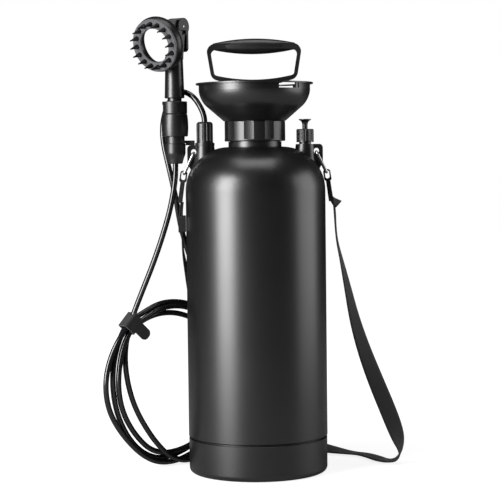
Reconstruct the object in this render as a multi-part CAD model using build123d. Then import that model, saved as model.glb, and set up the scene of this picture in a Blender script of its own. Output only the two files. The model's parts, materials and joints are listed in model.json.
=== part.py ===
from build123d import *
import os
from math import cos, degrees, pi, radians, sin, sqrt, tan

# A hand-pumped pressure shower: tank, funnel, pump, relief valve, hose with a
# ring-shaped spray handset, and a webbing carry strap. Sizes in millimetres.
# The origin is the centre of the base on the floor, Z is up, and the front
# of the shower looks along -Y.

# Clearances
SEAT_GAP = 0.15
RUN_GAP = 0.3
PIN_GAP = 0.08

# Tank and its foot
TANK_R = 93.5
TANK_WALL = 2.6
FOOT_INSET = 0.5
FOOT_WALL = 3.0
FOOT_FLOOR = 3.0
FOOT_H = 47.0
FOOT_EDGE_R = 7.0
FOOT_GROOVE = 1.0
BASE_CORNER_R = 24.0
WALL_TOP_Z = 378.0
SHOULDER_R = 58.0
NECK_BEAD_R = 35.5
NECK_BEAD_H = 7.0
NECK_R = 33.5
NECK_BORE_R = 28.0
NECK_TOP_Z = 460.0

# Lugs and bosses on the shoulder
BOSS_R = 12.5
BOSS_FLARE = 4.0
BOSS_DEPTH = 30.0
BOSS_BORE_R = 7.0
LEFT_BOSS_TOP_Z = 438.0
RIGHT_BOSS_TOP_Z = 439.0
LUG_RIM = 8.5
LUG_TOP_Z = 439.0
CLIP_T = 3.6
CLIP_GAP = 0.4
LUG_THICK = 8.0
LUG_CORNER_R = 5.0
EYE_OUT = 2.5
EYE_Z = 430.0
EYE_R = 3.6

# Funnel, its gasket and the collar nut
GASKET_H = 2.0
FLANGE_H = 3.0
FLANGE_R = 36.0
THROAT_R = 33.0
THROAT_BORE_R = 29.5
FUNNEL_WALL = 2.4
FUNNEL_SEAT_R = 41.5
FUNNEL_SEAT_Z = 470.5
FUNNEL_CONE_TOP_R = 63.0
FUNNEL_CONE_RISE = 18.6
FUNNEL_BOWL_R = 74.3
FUNNEL_BOWL_Z = 511.0
RIM_OUT = 3.9
RIM_Z = 521.0
RIM_THICK = 2.0
SLOT_START_DEG = 24.2
SLOT_END_DEG = 47.8
SLOT_H = 6.8
LATCH_END_DEG = 51.5
LATCH_DEPTH = 0.9
COLLAR_R = 40.6
COLLAR_BOTTOM_Z = 443.5
COLLAR_FLATS = 9
COLLAR_FLAT_DEPTH = 1.0
COLLAR_TURN = 28.5

# Pump
PUMP_SEAL_H = 2.0
PUMP_CAP_R = 37.5
PUMP_CAP_H = 8.0
PUMP_CAP_GRIPS = 12
CAP_SKIRT_R = 29.1
CAP_SKIRT_BORE_R = 25.0
CAP_SKIRT_DEPTH = 12.0
BARREL_R = 19.0
BARREL_WALL = 2.0
BARREL_BOTTOM_Z = 170.0
BARREL_FLOOR = 3.0
BARREL_FLANGE_H = 4.0
VALVE_HOLES = 6
VALVE_HOLE_R = 2.0
VALVE_HOLE_PCD = 16.0
FOOT_VALVE_R = 12.0
ROD_R = 6.0
ROD_WALL = 1.5
ROD_TOP_Z = 511.0
CAP_SEAT = 3.0
BUSH_LIP = 1.5
BUSH_R = 9.0
PISTON_LIFT = 8.0
PISTON_H = 14.0
PISTON_CUP_H = 5.0

# Pump handle
HANDLE_HALF_W = 64.4
HANDLE_FOOT_HALF_W = 57.2
HANDLE_CORNER_Z = 572.3
HANDLE_CROWN_Z = 574.6
HANDLE_FOOT_Z = 527.9
HANDLE_MIDDLE_Z = 517.0
HANDLE_BAR = 4.9
HANDLE_DEPTH = 15.0
HANDLE_TOP_ROUND = 11.0
HANDLE_FOOT_ROUND = 10.0
OPENING_TOP_Z = 565.4
OPENING_FOOT_Z = 531.6
OPENING_MIDDLE_Z = 525.2
GRIP_Z = 569.6
GRIP_R = 10.4
GRIP_END_R = 4.4
GRIP_HALF_LEN = 54.5
HUB_R = 11.5
HUB_BOTTOM_Z = 492.0

# Outlet fitting on the left boss
OUTLET_STEM_R = 6.8
OUTLET_BASE_R = 13.0
OUTLET_BASE_H = 4.0
OUTLET_NUT_R = 11.0
OUTLET_NUT_TOP_Z = 470.0
OUTLET_NUT_FLUTES = 14
OUTLET_NUT_EDGE = 4.0
DIP_TUBE_R = 4.5
DIP_TUBE_WALL = 1.0
DIP_TUBE_BOTTOM_Z = 40.0
DIP_FILTER_R = 7.0
DIP_FILTER_H = 22.0

# Relief valve on the right boss
RELIEF_STEM_R = 6.8
RELIEF_NECK_R = 8.0
RELIEF_NECK_H = 3.0
RELIEF_CAP_R = 11.6
RELIEF_CAP_Z = 441.5
RELIEF_CAP_H = 17.5
RELIEF_CAP_RIBS = 16
RELIEF_BORE_R = 5.5
RELIEF_KNOB_R = 8.2
RELIEF_KNOB_TOP_Z = 472.3
RELIEF_ROD_R = 3.6
RELIEF_EDGE = 1.2
RELIEF_SPRING_TURN_R = 4.3
RELIEF_SPRING_WIRE_R = 0.55

# Handset and its coupling, all on one upright axis
HANDSET_OUT = 13.0
HANDSET_Y = -3.0
HOSE_NUT_BOTTOM_Z = 414.5
HOSE_NUT_TOP_Z = 441.4
HOSE_NUT_R = 13.8
HOSE_NUT_TIP_R = 9.6
HOSE_NUT_TAPER_Z = 430.0
COUPLING_NECK_R = 12.75
COUPLING_CORE_R = 10.4
COUPLING_BORE_R = 4.0
SLEEVE_BOTTOM_Z = 450.8
SLEEVE_TOP_Z = 481.0
SLEEVE_R = 17.1
SLEEVE_BELLY = 0.7
RING_TOP_Z = 497.4
RING_R = 16.6
RING_WINDOWS = 3
SWIVEL_NECK_R = 9.4
HANDLE_TUBE_BOTTOM_Z = 501.8
HANDLE_TUBE_TOP_Z = 549.0
HANDLE_TUBE_FOOT_R = 13.3
HANDLE_TUBE_TOP_R = 11.9
HANDLE_TUBE_BORE_R = 7.0

# Spray head, in a frame with the handset axis upright and x to the back
HEAD_TURN = 55.6
FACE_TILT = 15.7
FACE_OUT = 42.8
FACE_Z = 569.5
FACE_R = 35.2
HOLE_R = 22.4
FACE_PLATE_T = 2.4
DRUM_DEPTH = 20.0
DRUM_BULGE = 1.6
REAR_INSET = 4.6
INNER_FLARE = 2.4
DRUM_WALL = 2.2
NOZZLES = 16
NOZZLE_RING_R = 28.6
NOZZLE_BASE_R = 3.2
NOZZLE_TIP_R = 0.8
NOZZLE_LEN = 14.5
NOZZLE_MAT_T = 1.5
SPINE_W = 14.0
THROAT_X = -1.5
CROWN_W = 21.0
EAR_W = 14.0
PIVOT_S = 9.0
PIVOT_Z = 597.0
PIVOT_PIN_R = 1.5
LEVER_HEAD_R = 11.5
LEVER_CORE_R = 8.3
LEVER_W = 21.0
LEVER_TAIL_T = 3.6
LEVER_TAIL_Z = 564.0
LEVER_TAIL_S = 21.5
STEM_R = 2.0
STEM_Z = 573.0

# Hose
HOSE_R = 3.75
HOSE_BORE_R = 2.4
COIL_GAP = 12.0
COIL_TURN = 35.0
COIL_CENTRE_T = -75.0
COIL_CENTRE_Z = 114.8
COIL_THICK = 16.0
TIE_ANGLE = 124.5
TIE_REACH = 103.5
TIE_TURN = 137.0
TIE_WIDTH = 23.0
TIE_BAND = 2.0
TIE_TAB_LEN = 21.0
TIE_ROOM = 15.5

# Carry strap, its links and hooks
STRAP_W = 23.0
STRAP_T = 1.8
LINK_WIRE_R = 1.9
HOOK_OUT = 2.7
HOOK_Z = 398.0
HOOK_TILT = 8.0
HOOK_T = 9.0
JAW_HALF_W = 2.9
JAW_HALF_H = 5.3
JAW_CHIN = 3.6
HOOK_RIM = 1.9
LOOP_W = 31.0
LOOP_DROP = 29.5
LOOP_H = 13.0
LOOP_T = 5.0
LOOP_RAIL = 2.8
GATE_T = 1.7
GATE_W = 5.2
GATE_X = 3.2
GATE_BLADE_X = 3.85
GATE_TOP = 3.8
GATE_PIN_R = 0.8
GATE_KNUCKLE_R = 1.6
PIVOT_LOW = -6.4
CHEEK_TOP = -3.4
SLIDER_OUT = 5.3
SLIDER_Z = 334.0
SLIDER_W = 31.0
SLIDER_H = 22.0
SLIDER_T = 9.0

# Places and levels worked out from the sizes above
FOOT_R = TANK_R - FOOT_INSET
BOSS_X = (COLLAR_R + TANK_R) / 2
BOSS_FOOT_Z = WALL_TOP_Z + BOSS_DEPTH
EYE_X = BOSS_X + BOSS_R + EYE_OUT
LUG_OUTER_X = EYE_X + LUG_RIM
RIM_R = FUNNEL_BOWL_R + RIM_OUT
HANDSET_X = -(TANK_R + HANDSET_OUT)
COIL_OUT = TANK_R + COIL_GAP
HOOK_X = TANK_R + HOOK_OUT
SLIDER_X = -(TANK_R + SLIDER_OUT)
SHOULDER_IN_R = TANK_R - SHOULDER_R
SHOULDER_TOP_Z = WALL_TOP_Z + SHOULDER_R
FLANGE_Z = NECK_TOP_Z + GASKET_H
LIP_Z = FLANGE_Z + FLANGE_H
FUNNEL_FLOOR_Z = FUNNEL_SEAT_Z + FUNNEL_WALL
CAP_Z = FUNNEL_FLOOR_Z + PUMP_SEAL_H
CAP_TOP_Z = CAP_Z + PUMP_CAP_H
BARREL_BORE_R = BARREL_R - BARREL_WALL
SEAT_Z = CAP_TOP_Z - CAP_SEAT
PISTON_Z = BARREL_BOTTOM_Z + BARREL_FLOOR + PISTON_LIFT

parts = {}


def ring(outer_r, inner_r, low_z, high_z, x=0.0, y=0.0):
    """An upright tube between two levels."""
    tube = Cylinder(outer_r, high_z - low_z) - Cylinder(inner_r, high_z - low_z)
    return Pos(x, y, (low_z + high_z) / 2) * tube


def rod(radius, low_z, high_z, x=0.0, y=0.0):
    """An upright solid cylinder between two levels."""
    return Pos(x, y, (low_z + high_z) / 2) * Cylinder(radius, high_z - low_z)


def turned(points, x=0.0, y=0.0):
    """A solid turned about an upright axis from a closed outline of (radius, z)."""
    outline = Polyline(*[(r, 0, z) for r, z in points], close=True)
    return Pos(x, y, 0) * revolve(make_face(outline), axis=Axis.Z)


def fluted(solid, count, groove_r, at_r, low_z, high_z, x=0.0, y=0.0):
    """The solid with upright round grooves cut around its side."""
    for index in range(count):
        turn = radians(360.0 * index / count)
        groove = rod(groove_r, low_z, high_z, x + at_r * cos(turn), y + at_r * sin(turn))
        solid = solid - groove
    return solid


def tank_outline(wall):
    """Half the tank's outline, set in from the outside by a wall."""
    base_r = FOOT_R - FOOT_WALL - SEAT_GAP - wall
    base_z = FOOT_FLOOR + wall
    corner = BASE_CORNER_R - wall
    side_r = TANK_R - wall
    arc_r = SHOULDER_R - wall
    step = TANK_R - base_r - wall
    groove_z = FOOT_H + FOOT_GROOVE + wall / 2
    top_z = SHOULDER_TOP_Z - wall
    knuckle = CenterArc((base_r - corner, base_z + corner), corner, 270, 90)
    shoulder = CenterArc((SHOULDER_IN_R, WALL_TOP_Z), arc_r, 0, 90)
    side = Polyline(
        (base_r, base_z + corner), (base_r, groove_z), (side_r, groove_z + step / 2), (side_r, WALL_TOP_Z)
    )
    closing = Polyline((SHOULDER_IN_R, top_z), (0, top_z), (0, base_z), (base_r - corner, base_z))
    return make_face([knuckle, side, shoulder, closing])


def revolved(face):
    """A sketch of (radius, height) turned about the tank's axis."""
    return revolve(Rot(90, 0, 0) * face, axis=Axis.Z)


def lug_plate(side, boss_top_z):
    """An upright plate with an eye, from the boss out to the tank's side."""
    inner = BOSS_X
    width = LUG_OUTER_X - inner
    low_z = WALL_TOP_Z + 0.4 * SHOULDER_R
    plate = Pos(side * (inner + width / 2), 0, (low_z + boss_top_z) / 2) * Box(
        width, LUG_THICK, boss_top_z - low_z
    )
    corner = plate.edges().filter_by(Axis.Y).group_by(Axis.Z)[-1].sort_by(Axis.X)[-1 if side > 0 else 0]
    plate = fillet(corner, LUG_CORNER_R)
    toe_r = sqrt(SHOULDER_R**2 - (low_z - WALL_TOP_Z) ** 2) + SHOULDER_IN_R
    cut = Polyline(
        (side * (LUG_OUTER_X + 1), 0, low_z - 1),
        (side * (LUG_OUTER_X + 1), 0, EYE_Z - 14),
        (side * (toe_r - 6), 0, low_z - 1),
        close=True,
    )
    wedge = extrude(make_face(cut), amount=LUG_THICK, both=True)
    return plate - wedge


def boss(side, top_z):
    """A round boss that flares out down into the shoulder."""
    height = top_z - BOSS_FOOT_Z
    return Pos(side * BOSS_X, 0, BOSS_FOOT_Z + height / 2) * Cone(BOSS_R + BOSS_FLARE, BOSS_R, height)


def tank_shell():
    body = revolved(tank_outline(0))
    cavity = revolved(tank_outline(TANK_WALL))
    neck = rod(NECK_BEAD_R, SHOULDER_TOP_Z - 2 * TANK_WALL, SHOULDER_TOP_Z + NECK_BEAD_H)
    neck = neck + rod(NECK_R, SHOULDER_TOP_Z, NECK_TOP_Z)
    left_boss = boss(-1, LEFT_BOSS_TOP_Z)
    right_boss = boss(1, RIGHT_BOSS_TOP_Z)
    left_lug = lug_plate(-1, LUG_TOP_Z)
    right_lug = lug_plate(1, RIGHT_BOSS_TOP_Z)
    body = body + neck + left_boss + right_boss + left_lug + right_lug
    body = body - cavity
    body = body - rod(NECK_BORE_R, WALL_TOP_Z, NECK_TOP_Z + 1)
    for side in (-1, 1):
        body = body - rod(BOSS_BORE_R, WALL_TOP_Z, LUG_TOP_Z + 10, side * BOSS_X)
        body = body - rod(OUTLET_BASE_R + SEAT_GAP, LEFT_BOSS_TOP_Z, LUG_TOP_Z + 10, -BOSS_X)
        eye = Pos(side * EYE_X, 0, EYE_Z) * Rot(90, 0, 0) * Cylinder(EYE_R, 4 * LUG_THICK)
        body = body - eye
    return body


def foot_cup():
    cup = rod(FOOT_R, 0, FOOT_H)
    bottom = cup.edges().group_by(Axis.Z)[0]
    cup = fillet(bottom, FOOT_EDGE_R)
    bore_r = FOOT_R - FOOT_WALL
    corner = BASE_CORNER_R - FOOT_FLOOR
    hollow = rod(bore_r, FOOT_FLOOR, FOOT_H + 1)
    hollow = fillet(hollow.edges().group_by(Axis.Z)[0], corner)
    cup = cup - hollow
    return chamfer(cup.edges().group_by(Axis.Z)[-1], 0.6)


def neck_gasket():
    return ring(NECK_R, NECK_BORE_R + SEAT_GAP, NECK_TOP_Z, FLANGE_Z)


def funnel_outline():
    """The funnel's wall in (radius, height), outside and inside."""
    cone_z = FUNNEL_SEAT_Z + FUNNEL_CONE_RISE
    wall = FUNNEL_WALL
    bowl_end = (FUNNEL_BOWL_R, FUNNEL_BOWL_Z)
    slope = (FUNNEL_CONE_TOP_R - FUNNEL_SEAT_R, FUNNEL_CONE_RISE)
    outer_bowl = TangentArc((FUNNEL_CONE_TOP_R, cone_z), bowl_end, tangent=slope)
    outer = Polyline(
        (THROAT_BORE_R, FLANGE_Z),
        (FLANGE_R, FLANGE_Z),
        (FLANGE_R, LIP_Z),
        (THROAT_R, LIP_Z),
        (THROAT_R, FUNNEL_SEAT_Z),
        (FUNNEL_SEAT_R, FUNNEL_SEAT_Z),
        (FUNNEL_CONE_TOP_R, cone_z),
    )
    inner_end = (FUNNEL_BOWL_R - wall, FUNNEL_BOWL_Z)
    steep = wall / sqrt(2)
    inner_start = (FUNNEL_CONE_TOP_R - steep, cone_z + steep)
    inner_bowl = TangentArc(inner_start, inner_end, tangent=slope)
    rim = Polyline(
        bowl_end,
        (FUNNEL_BOWL_R, RIM_Z - RIM_THICK),
        (RIM_R, RIM_Z - RIM_THICK),
        (RIM_R, RIM_Z),
        (FUNNEL_BOWL_R - wall, RIM_Z),
        inner_end,
    )
    inner = Polyline(
        inner_start,
        (FUNNEL_SEAT_R + wall / 4, FUNNEL_FLOOR_Z),
        (THROAT_BORE_R, FUNNEL_FLOOR_Z),
        (THROAT_BORE_R, FLANGE_Z),
    )
    return make_face([outer, outer_bowl, rim, inner_bowl, inner])


def wall_slot(start_deg, end_deg, inner_r, outer_r, low_z, high_z):
    """A block between two bearings from the front, for a slot through a round wall."""
    middle = radians((start_deg + end_deg) / 2)
    half = radians((end_deg - start_deg) / 2)
    width = 2 * inner_r * sin(half)
    reach = (inner_r + outer_r) / 2
    block = Box(width, outer_r - inner_r, high_z - low_z)
    place = Pos(reach * sin(middle), -reach * cos(middle), (low_z + high_z) / 2)
    return place * Rot(0, 0, degrees(middle)) * block


def funnel():
    body = revolved(funnel_outline())
    top = RIM_Z - RIM_THICK
    inside = FUNNEL_BOWL_R - 3 * FUNNEL_WALL
    slot = wall_slot(SLOT_START_DEG, SLOT_END_DEG, inside, RIM_R + 2, top - SLOT_H, top)
    latch_r = FUNNEL_BOWL_R - LATCH_DEPTH
    latch = wall_slot(SLOT_END_DEG, LATCH_END_DEG, latch_r, RIM_R + 2, top - SLOT_H, top)
    return body - slot - latch - mirror(slot, about=Plane.XZ)


def collar_nut():
    nut = rod(COLLAR_R, COLLAR_BOTTOM_Z, FUNNEL_SEAT_Z - 2 * SEAT_GAP)
    nut = fillet(nut.edges(), 1.2)
    scallop_r = 1.2 * COLLAR_R
    for index in range(COLLAR_FLATS):
        turn = radians(360.0 * index / COLLAR_FLATS + COLLAR_TURN)
        away = COLLAR_R + scallop_r - COLLAR_FLAT_DEPTH
        low = COLLAR_BOTTOM_Z + 2.5
        nut = nut - rod(scallop_r, low, FUNNEL_SEAT_Z + 1, away * sin(turn), -away * cos(turn))
    nut = nut - rod(NECK_R + SEAT_GAP, COLLAR_BOTTOM_Z - 1, NECK_TOP_Z)
    nut = nut - rod(FLANGE_R + SEAT_GAP, NECK_TOP_Z - 2, LIP_Z)
    nut = nut - rod(THROAT_R + SEAT_GAP, NECK_TOP_Z, FUNNEL_SEAT_Z + 1)
    return nut


parts["tank_shell"] = tank_shell()
parts["foot_cup"] = foot_cup()
parts["neck_gasket"] = neck_gasket()
parts["funnel"] = funnel()
parts["collar_nut"] = collar_nut()


def pump_seal():
    return ring(PUMP_CAP_R - 2, CAP_SKIRT_R + SEAT_GAP, FUNNEL_FLOOR_Z, CAP_Z)


def pump_cap():
    flange = fluted(rod(PUMP_CAP_R, CAP_Z, CAP_TOP_Z), PUMP_CAP_GRIPS, 3.5, PUMP_CAP_R + 1.6, CAP_Z - 1, CAP_TOP_Z + 1)
    cap = flange + rod(CAP_SKIRT_R, CAP_Z - CAP_SKIRT_DEPTH, CAP_Z + 1)
    cap = cap - rod(CAP_SKIRT_BORE_R, CAP_Z - CAP_SKIRT_DEPTH - 1, SEAT_Z)
    return cap - rod(BUSH_R + SEAT_GAP, SEAT_Z - 1, CAP_TOP_Z + 1)


def rod_bush():
    lip_z = CAP_TOP_Z + BUSH_LIP
    bush = rod(BUSH_R, SEAT_Z - CAP_SEAT, lip_z) + rod(BUSH_R + 2 * BUSH_LIP, CAP_TOP_Z, lip_z)
    return bush - rod(ROD_R + PIN_GAP, SEAT_Z - 2 * CAP_SEAT, lip_z + 1)


def pump_barrel():
    flange_z = SEAT_Z - BARREL_FLANGE_H
    barrel = rod(BARREL_R, BARREL_BOTTOM_Z, SEAT_Z)
    barrel = barrel + rod(CAP_SKIRT_BORE_R - SEAT_GAP, flange_z, SEAT_Z)
    barrel = barrel - rod(BARREL_BORE_R, BARREL_BOTTOM_Z + BARREL_FLOOR, SEAT_Z + 1)
    for index in range(VALVE_HOLES):
        turn = radians(360.0 * index / VALVE_HOLES)
        x = VALVE_HOLE_PCD / 2 * cos(turn)
        y = VALVE_HOLE_PCD / 2 * sin(turn)
        barrel = barrel - rod(VALVE_HOLE_R, BARREL_BOTTOM_Z - 1, BARREL_BOTTOM_Z + BARREL_FLOOR + 1, x, y)
    return barrel - rod(VALVE_HOLE_R + SEAT_GAP, BARREL_BOTTOM_Z - 1, BARREL_BOTTOM_Z + BARREL_FLOOR + 1)


def foot_valve():
    """A rubber umbrella under the barrel's floor, held by its own stem."""
    disc = turned(
        [
            (0, BARREL_BOTTOM_Z - 3.0),
            (FOOT_VALVE_R, BARREL_BOTTOM_Z - 0.8),
            (FOOT_VALVE_R, BARREL_BOTTOM_Z),
            (0, BARREL_BOTTOM_Z),
        ]
    )
    stem = rod(VALVE_HOLE_R, BARREL_BOTTOM_Z - 1, BARREL_BOTTOM_Z + BARREL_FLOOR)
    bead = rod(VALVE_HOLE_R + 1.2, BARREL_BOTTOM_Z + BARREL_FLOOR, BARREL_BOTTOM_Z + BARREL_FLOOR + 2)
    return disc + stem + bead


def pump_rod():
    return ring(ROD_R, ROD_R - ROD_WALL, PISTON_Z + 2, ROD_TOP_Z)


def piston():
    """Two flanges with a groove between them for the cup."""
    low = PISTON_Z
    high = PISTON_Z + PISTON_H
    body = rod(BARREL_BORE_R - RUN_GAP, low, high)
    groove_z = low + (PISTON_H - PISTON_CUP_H) / 2
    groove = ring(BARREL_R, BARREL_BORE_R - 4.0, groove_z, groove_z + PISTON_CUP_H)
    body = body - groove
    return body - rod(ROD_R + SEAT_GAP, low + 2, high + 1)


def piston_cup():
    groove_z = PISTON_Z + (PISTON_H - PISTON_CUP_H) / 2
    return ring(BARREL_BORE_R - 0.1, BARREL_BORE_R - 4.0 + SEAT_GAP, groove_z, groove_z + PISTON_CUP_H)


def bowed_block(top_half, corner_z, crown_z, foot_half, foot_z, middle_z, depth):
    """An upright four-sided block seen from the front, with bowed top and bottom edges."""
    top = ThreePointArc((-top_half, corner_z), (0, crown_z), (top_half, corner_z))
    right = Line((top_half, corner_z), (foot_half, foot_z))
    bottom = ThreePointArc((foot_half, foot_z), (0, middle_z), (-foot_half, foot_z))
    left = Line((-foot_half, foot_z), (-top_half, corner_z))
    return extrude(make_face([top, right, bottom, left]), amount=depth / 2, both=True)


def rounded_corners(block, top_round, foot_round):
    """The block with its four corners rounded."""
    rows = block.edges().filter_by(Axis.Z).group_by(Axis.Y)
    block = fillet(rows[-1], top_round)
    rows = block.edges().filter_by(Axis.Z).group_by(Axis.Y)
    return fillet(rows[0], foot_round)


def pump_handle():
    """A moulded D loop with a barrel-shaped grip turned across its top and a hub below."""
    outer = bowed_block(
        HANDLE_HALF_W, HANDLE_CORNER_Z, HANDLE_CROWN_Z, HANDLE_FOOT_HALF_W, HANDLE_FOOT_Z, HANDLE_MIDDLE_Z, HANDLE_DEPTH
    )
    outer = rounded_corners(outer, HANDLE_TOP_ROUND, HANDLE_FOOT_ROUND)
    lean = (HANDLE_HALF_W - HANDLE_FOOT_HALF_W) / (HANDLE_CORNER_Z - HANDLE_FOOT_Z)
    top_half = HANDLE_HALF_W - HANDLE_BAR - lean * (HANDLE_CORNER_Z - OPENING_TOP_Z)
    foot_half = HANDLE_FOOT_HALF_W - HANDLE_BAR + lean * (OPENING_FOOT_Z - HANDLE_FOOT_Z)
    inner = bowed_block(
        top_half, OPENING_TOP_Z, OPENING_TOP_Z + 1, foot_half, OPENING_FOOT_Z, OPENING_MIDDLE_Z, 2 * HANDLE_DEPTH
    )
    inner = rounded_corners(inner, HANDLE_TOP_ROUND - HANDLE_BAR, HANDLE_FOOT_ROUND - HANDLE_BAR)
    frame = Rot(90, 0, 0) * (outer - inner)
    side = ThreePointArc((-GRIP_HALF_LEN, GRIP_END_R), (0, GRIP_R), (GRIP_HALF_LEN, GRIP_END_R))
    ends = Polyline((GRIP_HALF_LEN, GRIP_END_R), (GRIP_HALF_LEN, 0), (-GRIP_HALF_LEN, 0), (-GRIP_HALF_LEN, GRIP_END_R))
    grip = Pos(0, 0, GRIP_Z) * revolve(make_face([side, ends]), axis=Axis.X)
    hub_top = HANDLE_MIDDLE_Z + 2
    hub = turned([(0, HUB_BOTTOM_Z), (HUB_R - 1.5, HUB_BOTTOM_Z), (HUB_R, HUB_BOTTOM_Z + 1.5), (HUB_R, hub_top), (0, hub_top)])
    body = frame + grip + hub
    return body - rod(ROD_R + SEAT_GAP, HUB_BOTTOM_Z - 1, ROD_TOP_Z)


parts["pump_seal"] = pump_seal()
parts["pump_cap"] = pump_cap()
parts["rod_bush"] = rod_bush()
parts["pump_barrel"] = pump_barrel()
parts["foot_valve"] = foot_valve()
parts["pump_rod"] = pump_rod()
parts["piston"] = piston()
parts["piston_cup"] = piston_cup()
parts["pump_handle"] = pump_handle()


def helix_spring(turn_r, wire_r, low_z, high_z, turns, x=0.0, y=0.0):
    """A round-wire spring between two levels."""
    rise = high_z - low_z - 2 * wire_r
    coil = Helix(pitch=rise / turns, height=rise, radius=turn_r)
    start = Plane(origin=coil @ 0, z_dir=coil % 0)
    wire = sweep(start * Circle(wire_r), path=coil)
    return Pos(x, y, low_z + wire_r) * wire


def outlet_fitting():
    """A flanged stem through the left boss, with a hose tail above and a socket below."""
    x = -BOSS_X
    base_z = LEFT_BOSS_TOP_Z
    body = rod(OUTLET_STEM_R, BOSS_FOOT_Z - 2, base_z + 1, x)
    body = body + rod(OUTLET_BASE_R, base_z, base_z + OUTLET_BASE_H, x)
    body = body + rod(OUTLET_NUT_R - 2.4, base_z + 3, base_z + 16, x)
    body = body + rod(HOSE_R - SEAT_GAP, base_z + 10, OUTLET_NUT_TOP_Z, x)
    body = body - rod(HOSE_BORE_R, WALL_TOP_Z, OUTLET_NUT_TOP_Z + 1, x)
    return body - rod(DIP_TUBE_R + SEAT_GAP, WALL_TOP_Z, BOSS_FOOT_Z + 10, x)


def outlet_nut():
    x = -BOSS_X
    low = LEFT_BOSS_TOP_Z + OUTLET_BASE_H
    nut = rod(OUTLET_NUT_R, low, OUTLET_NUT_TOP_Z, x)
    nut = fillet(nut.edges().group_by(Axis.Z)[-1], OUTLET_NUT_EDGE)
    nut = fluted(nut, OUTLET_NUT_FLUTES, 1.1, OUTLET_NUT_R + 0.4, low + 2.5, OUTLET_NUT_TOP_Z + 1, x)
    nut = nut - rod(OUTLET_NUT_R - 2.4 + SEAT_GAP, low - 1, LEFT_BOSS_TOP_Z + 17, x)
    return nut - rod(HOSE_R, low, OUTLET_NUT_TOP_Z + 1, x)


def dip_tube():
    return ring(DIP_TUBE_R, DIP_TUBE_R - DIP_TUBE_WALL, DIP_TUBE_BOTTOM_Z, BOSS_FOOT_Z + 10, -BOSS_X)


def dip_filter():
    """A slotted cup pressed on the foot of the dip tube."""
    low = DIP_TUBE_BOTTOM_Z - 8
    high = low + DIP_FILTER_H
    body = rod(DIP_FILTER_R, low, high, -BOSS_X)
    body = body - rod(DIP_TUBE_R + SEAT_GAP, DIP_TUBE_BOTTOM_Z, high + 1, -BOSS_X)
    body = body - rod(DIP_TUBE_R - DIP_TUBE_WALL, low + 2, high, -BOSS_X)
    for turn in (0, 60, 120):
        slot = Pos(-BOSS_X, 0, low + 4.5) * Rot(0, 0, turn) * Box(3 * DIP_FILTER_R, 1.6, 3.5)
        body = body - slot
    return body


def relief_body():
    base_z = RIGHT_BOSS_TOP_Z
    body = rod(RELIEF_STEM_R, BOSS_FOOT_Z - 2, base_z + 1, BOSS_X)
    body = body + rod(RELIEF_NECK_R, base_z, base_z + 13, BOSS_X)
    body = body - rod(HOSE_BORE_R, WALL_TOP_Z, base_z + 5, BOSS_X)
    return body - rod(RELIEF_BORE_R, base_z + 4, base_z + 14, BOSS_X)


def relief_cap():
    low = RELIEF_CAP_Z
    high = low + RELIEF_CAP_H
    cap = rod(RELIEF_CAP_R, low, high, BOSS_X)
    cap = fillet(cap.edges().group_by(Axis.Z)[-1], 1.4)
    cap = fluted(cap, RELIEF_CAP_RIBS, 1.0, RELIEF_CAP_R + 0.45, low + 2, high + 1, BOSS_X)
    cap = cap - rod(RELIEF_NECK_R + SEAT_GAP, low - 1, high - 4, BOSS_X)
    return cap - rod(RELIEF_ROD_R + RUN_GAP, low, high + 1, BOSS_X)


def relief_knob():
    """A pull rod with a trumpet-shaped head and a collar under its spring."""
    seat_z = RIGHT_BOSS_TOP_Z + 4 + 2
    collar_z = seat_z + 2
    top = RELIEF_KNOB_TOP_Z
    flare = Spline(
        (RELIEF_ROD_R, top - 8.5), (RELIEF_ROD_R + 0.8, top - 4.5), (RELIEF_KNOB_R, top - RELIEF_EDGE),
        tangents=[(0, 1), (1, 0.35)],
    )
    outline = Polyline(
        (RELIEF_KNOB_R, top - RELIEF_EDGE),
        (RELIEF_KNOB_R, top),
        (RELIEF_KNOB_R - 2.5, top - 0.3),
        (0, top - 1.4),
        (0, seat_z),
        (RELIEF_BORE_R - RUN_GAP, seat_z),
        (RELIEF_BORE_R - RUN_GAP, collar_z),
        (RELIEF_ROD_R, collar_z),
        (RELIEF_ROD_R, top - 8.5),
    )
    return Pos(BOSS_X, 0, 0) * revolved(make_face([flare, outline]))


def relief_seal():
    seat_z = RIGHT_BOSS_TOP_Z + 4
    return rod(RELIEF_BORE_R - RUN_GAP, seat_z, seat_z + 2, BOSS_X)


def relief_spring():
    low = RIGHT_BOSS_TOP_Z + 8
    high = RELIEF_CAP_Z + RELIEF_CAP_H - 4
    return helix_spring(RELIEF_SPRING_TURN_R, RELIEF_SPRING_WIRE_R, low, high, 4, BOSS_X)


parts["outlet_fitting"] = outlet_fitting()
parts["outlet_nut"] = outlet_nut()
parts["dip_tube"] = dip_tube()
parts["dip_filter"] = dip_filter()
parts["relief_body"] = relief_body()
parts["relief_cap"] = relief_cap()
parts["relief_knob"] = relief_knob()
parts["relief_seal"] = relief_seal()
parts["relief_spring"] = relief_spring()

AX = HANDSET_X
AY = HANDSET_Y
GUIDE_TOP_Z = SLEEVE_BOTTOM_Z + 9.5
SLEEVE_FLANGE_H = 4.7
NIPPLE_R = 7.0


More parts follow.
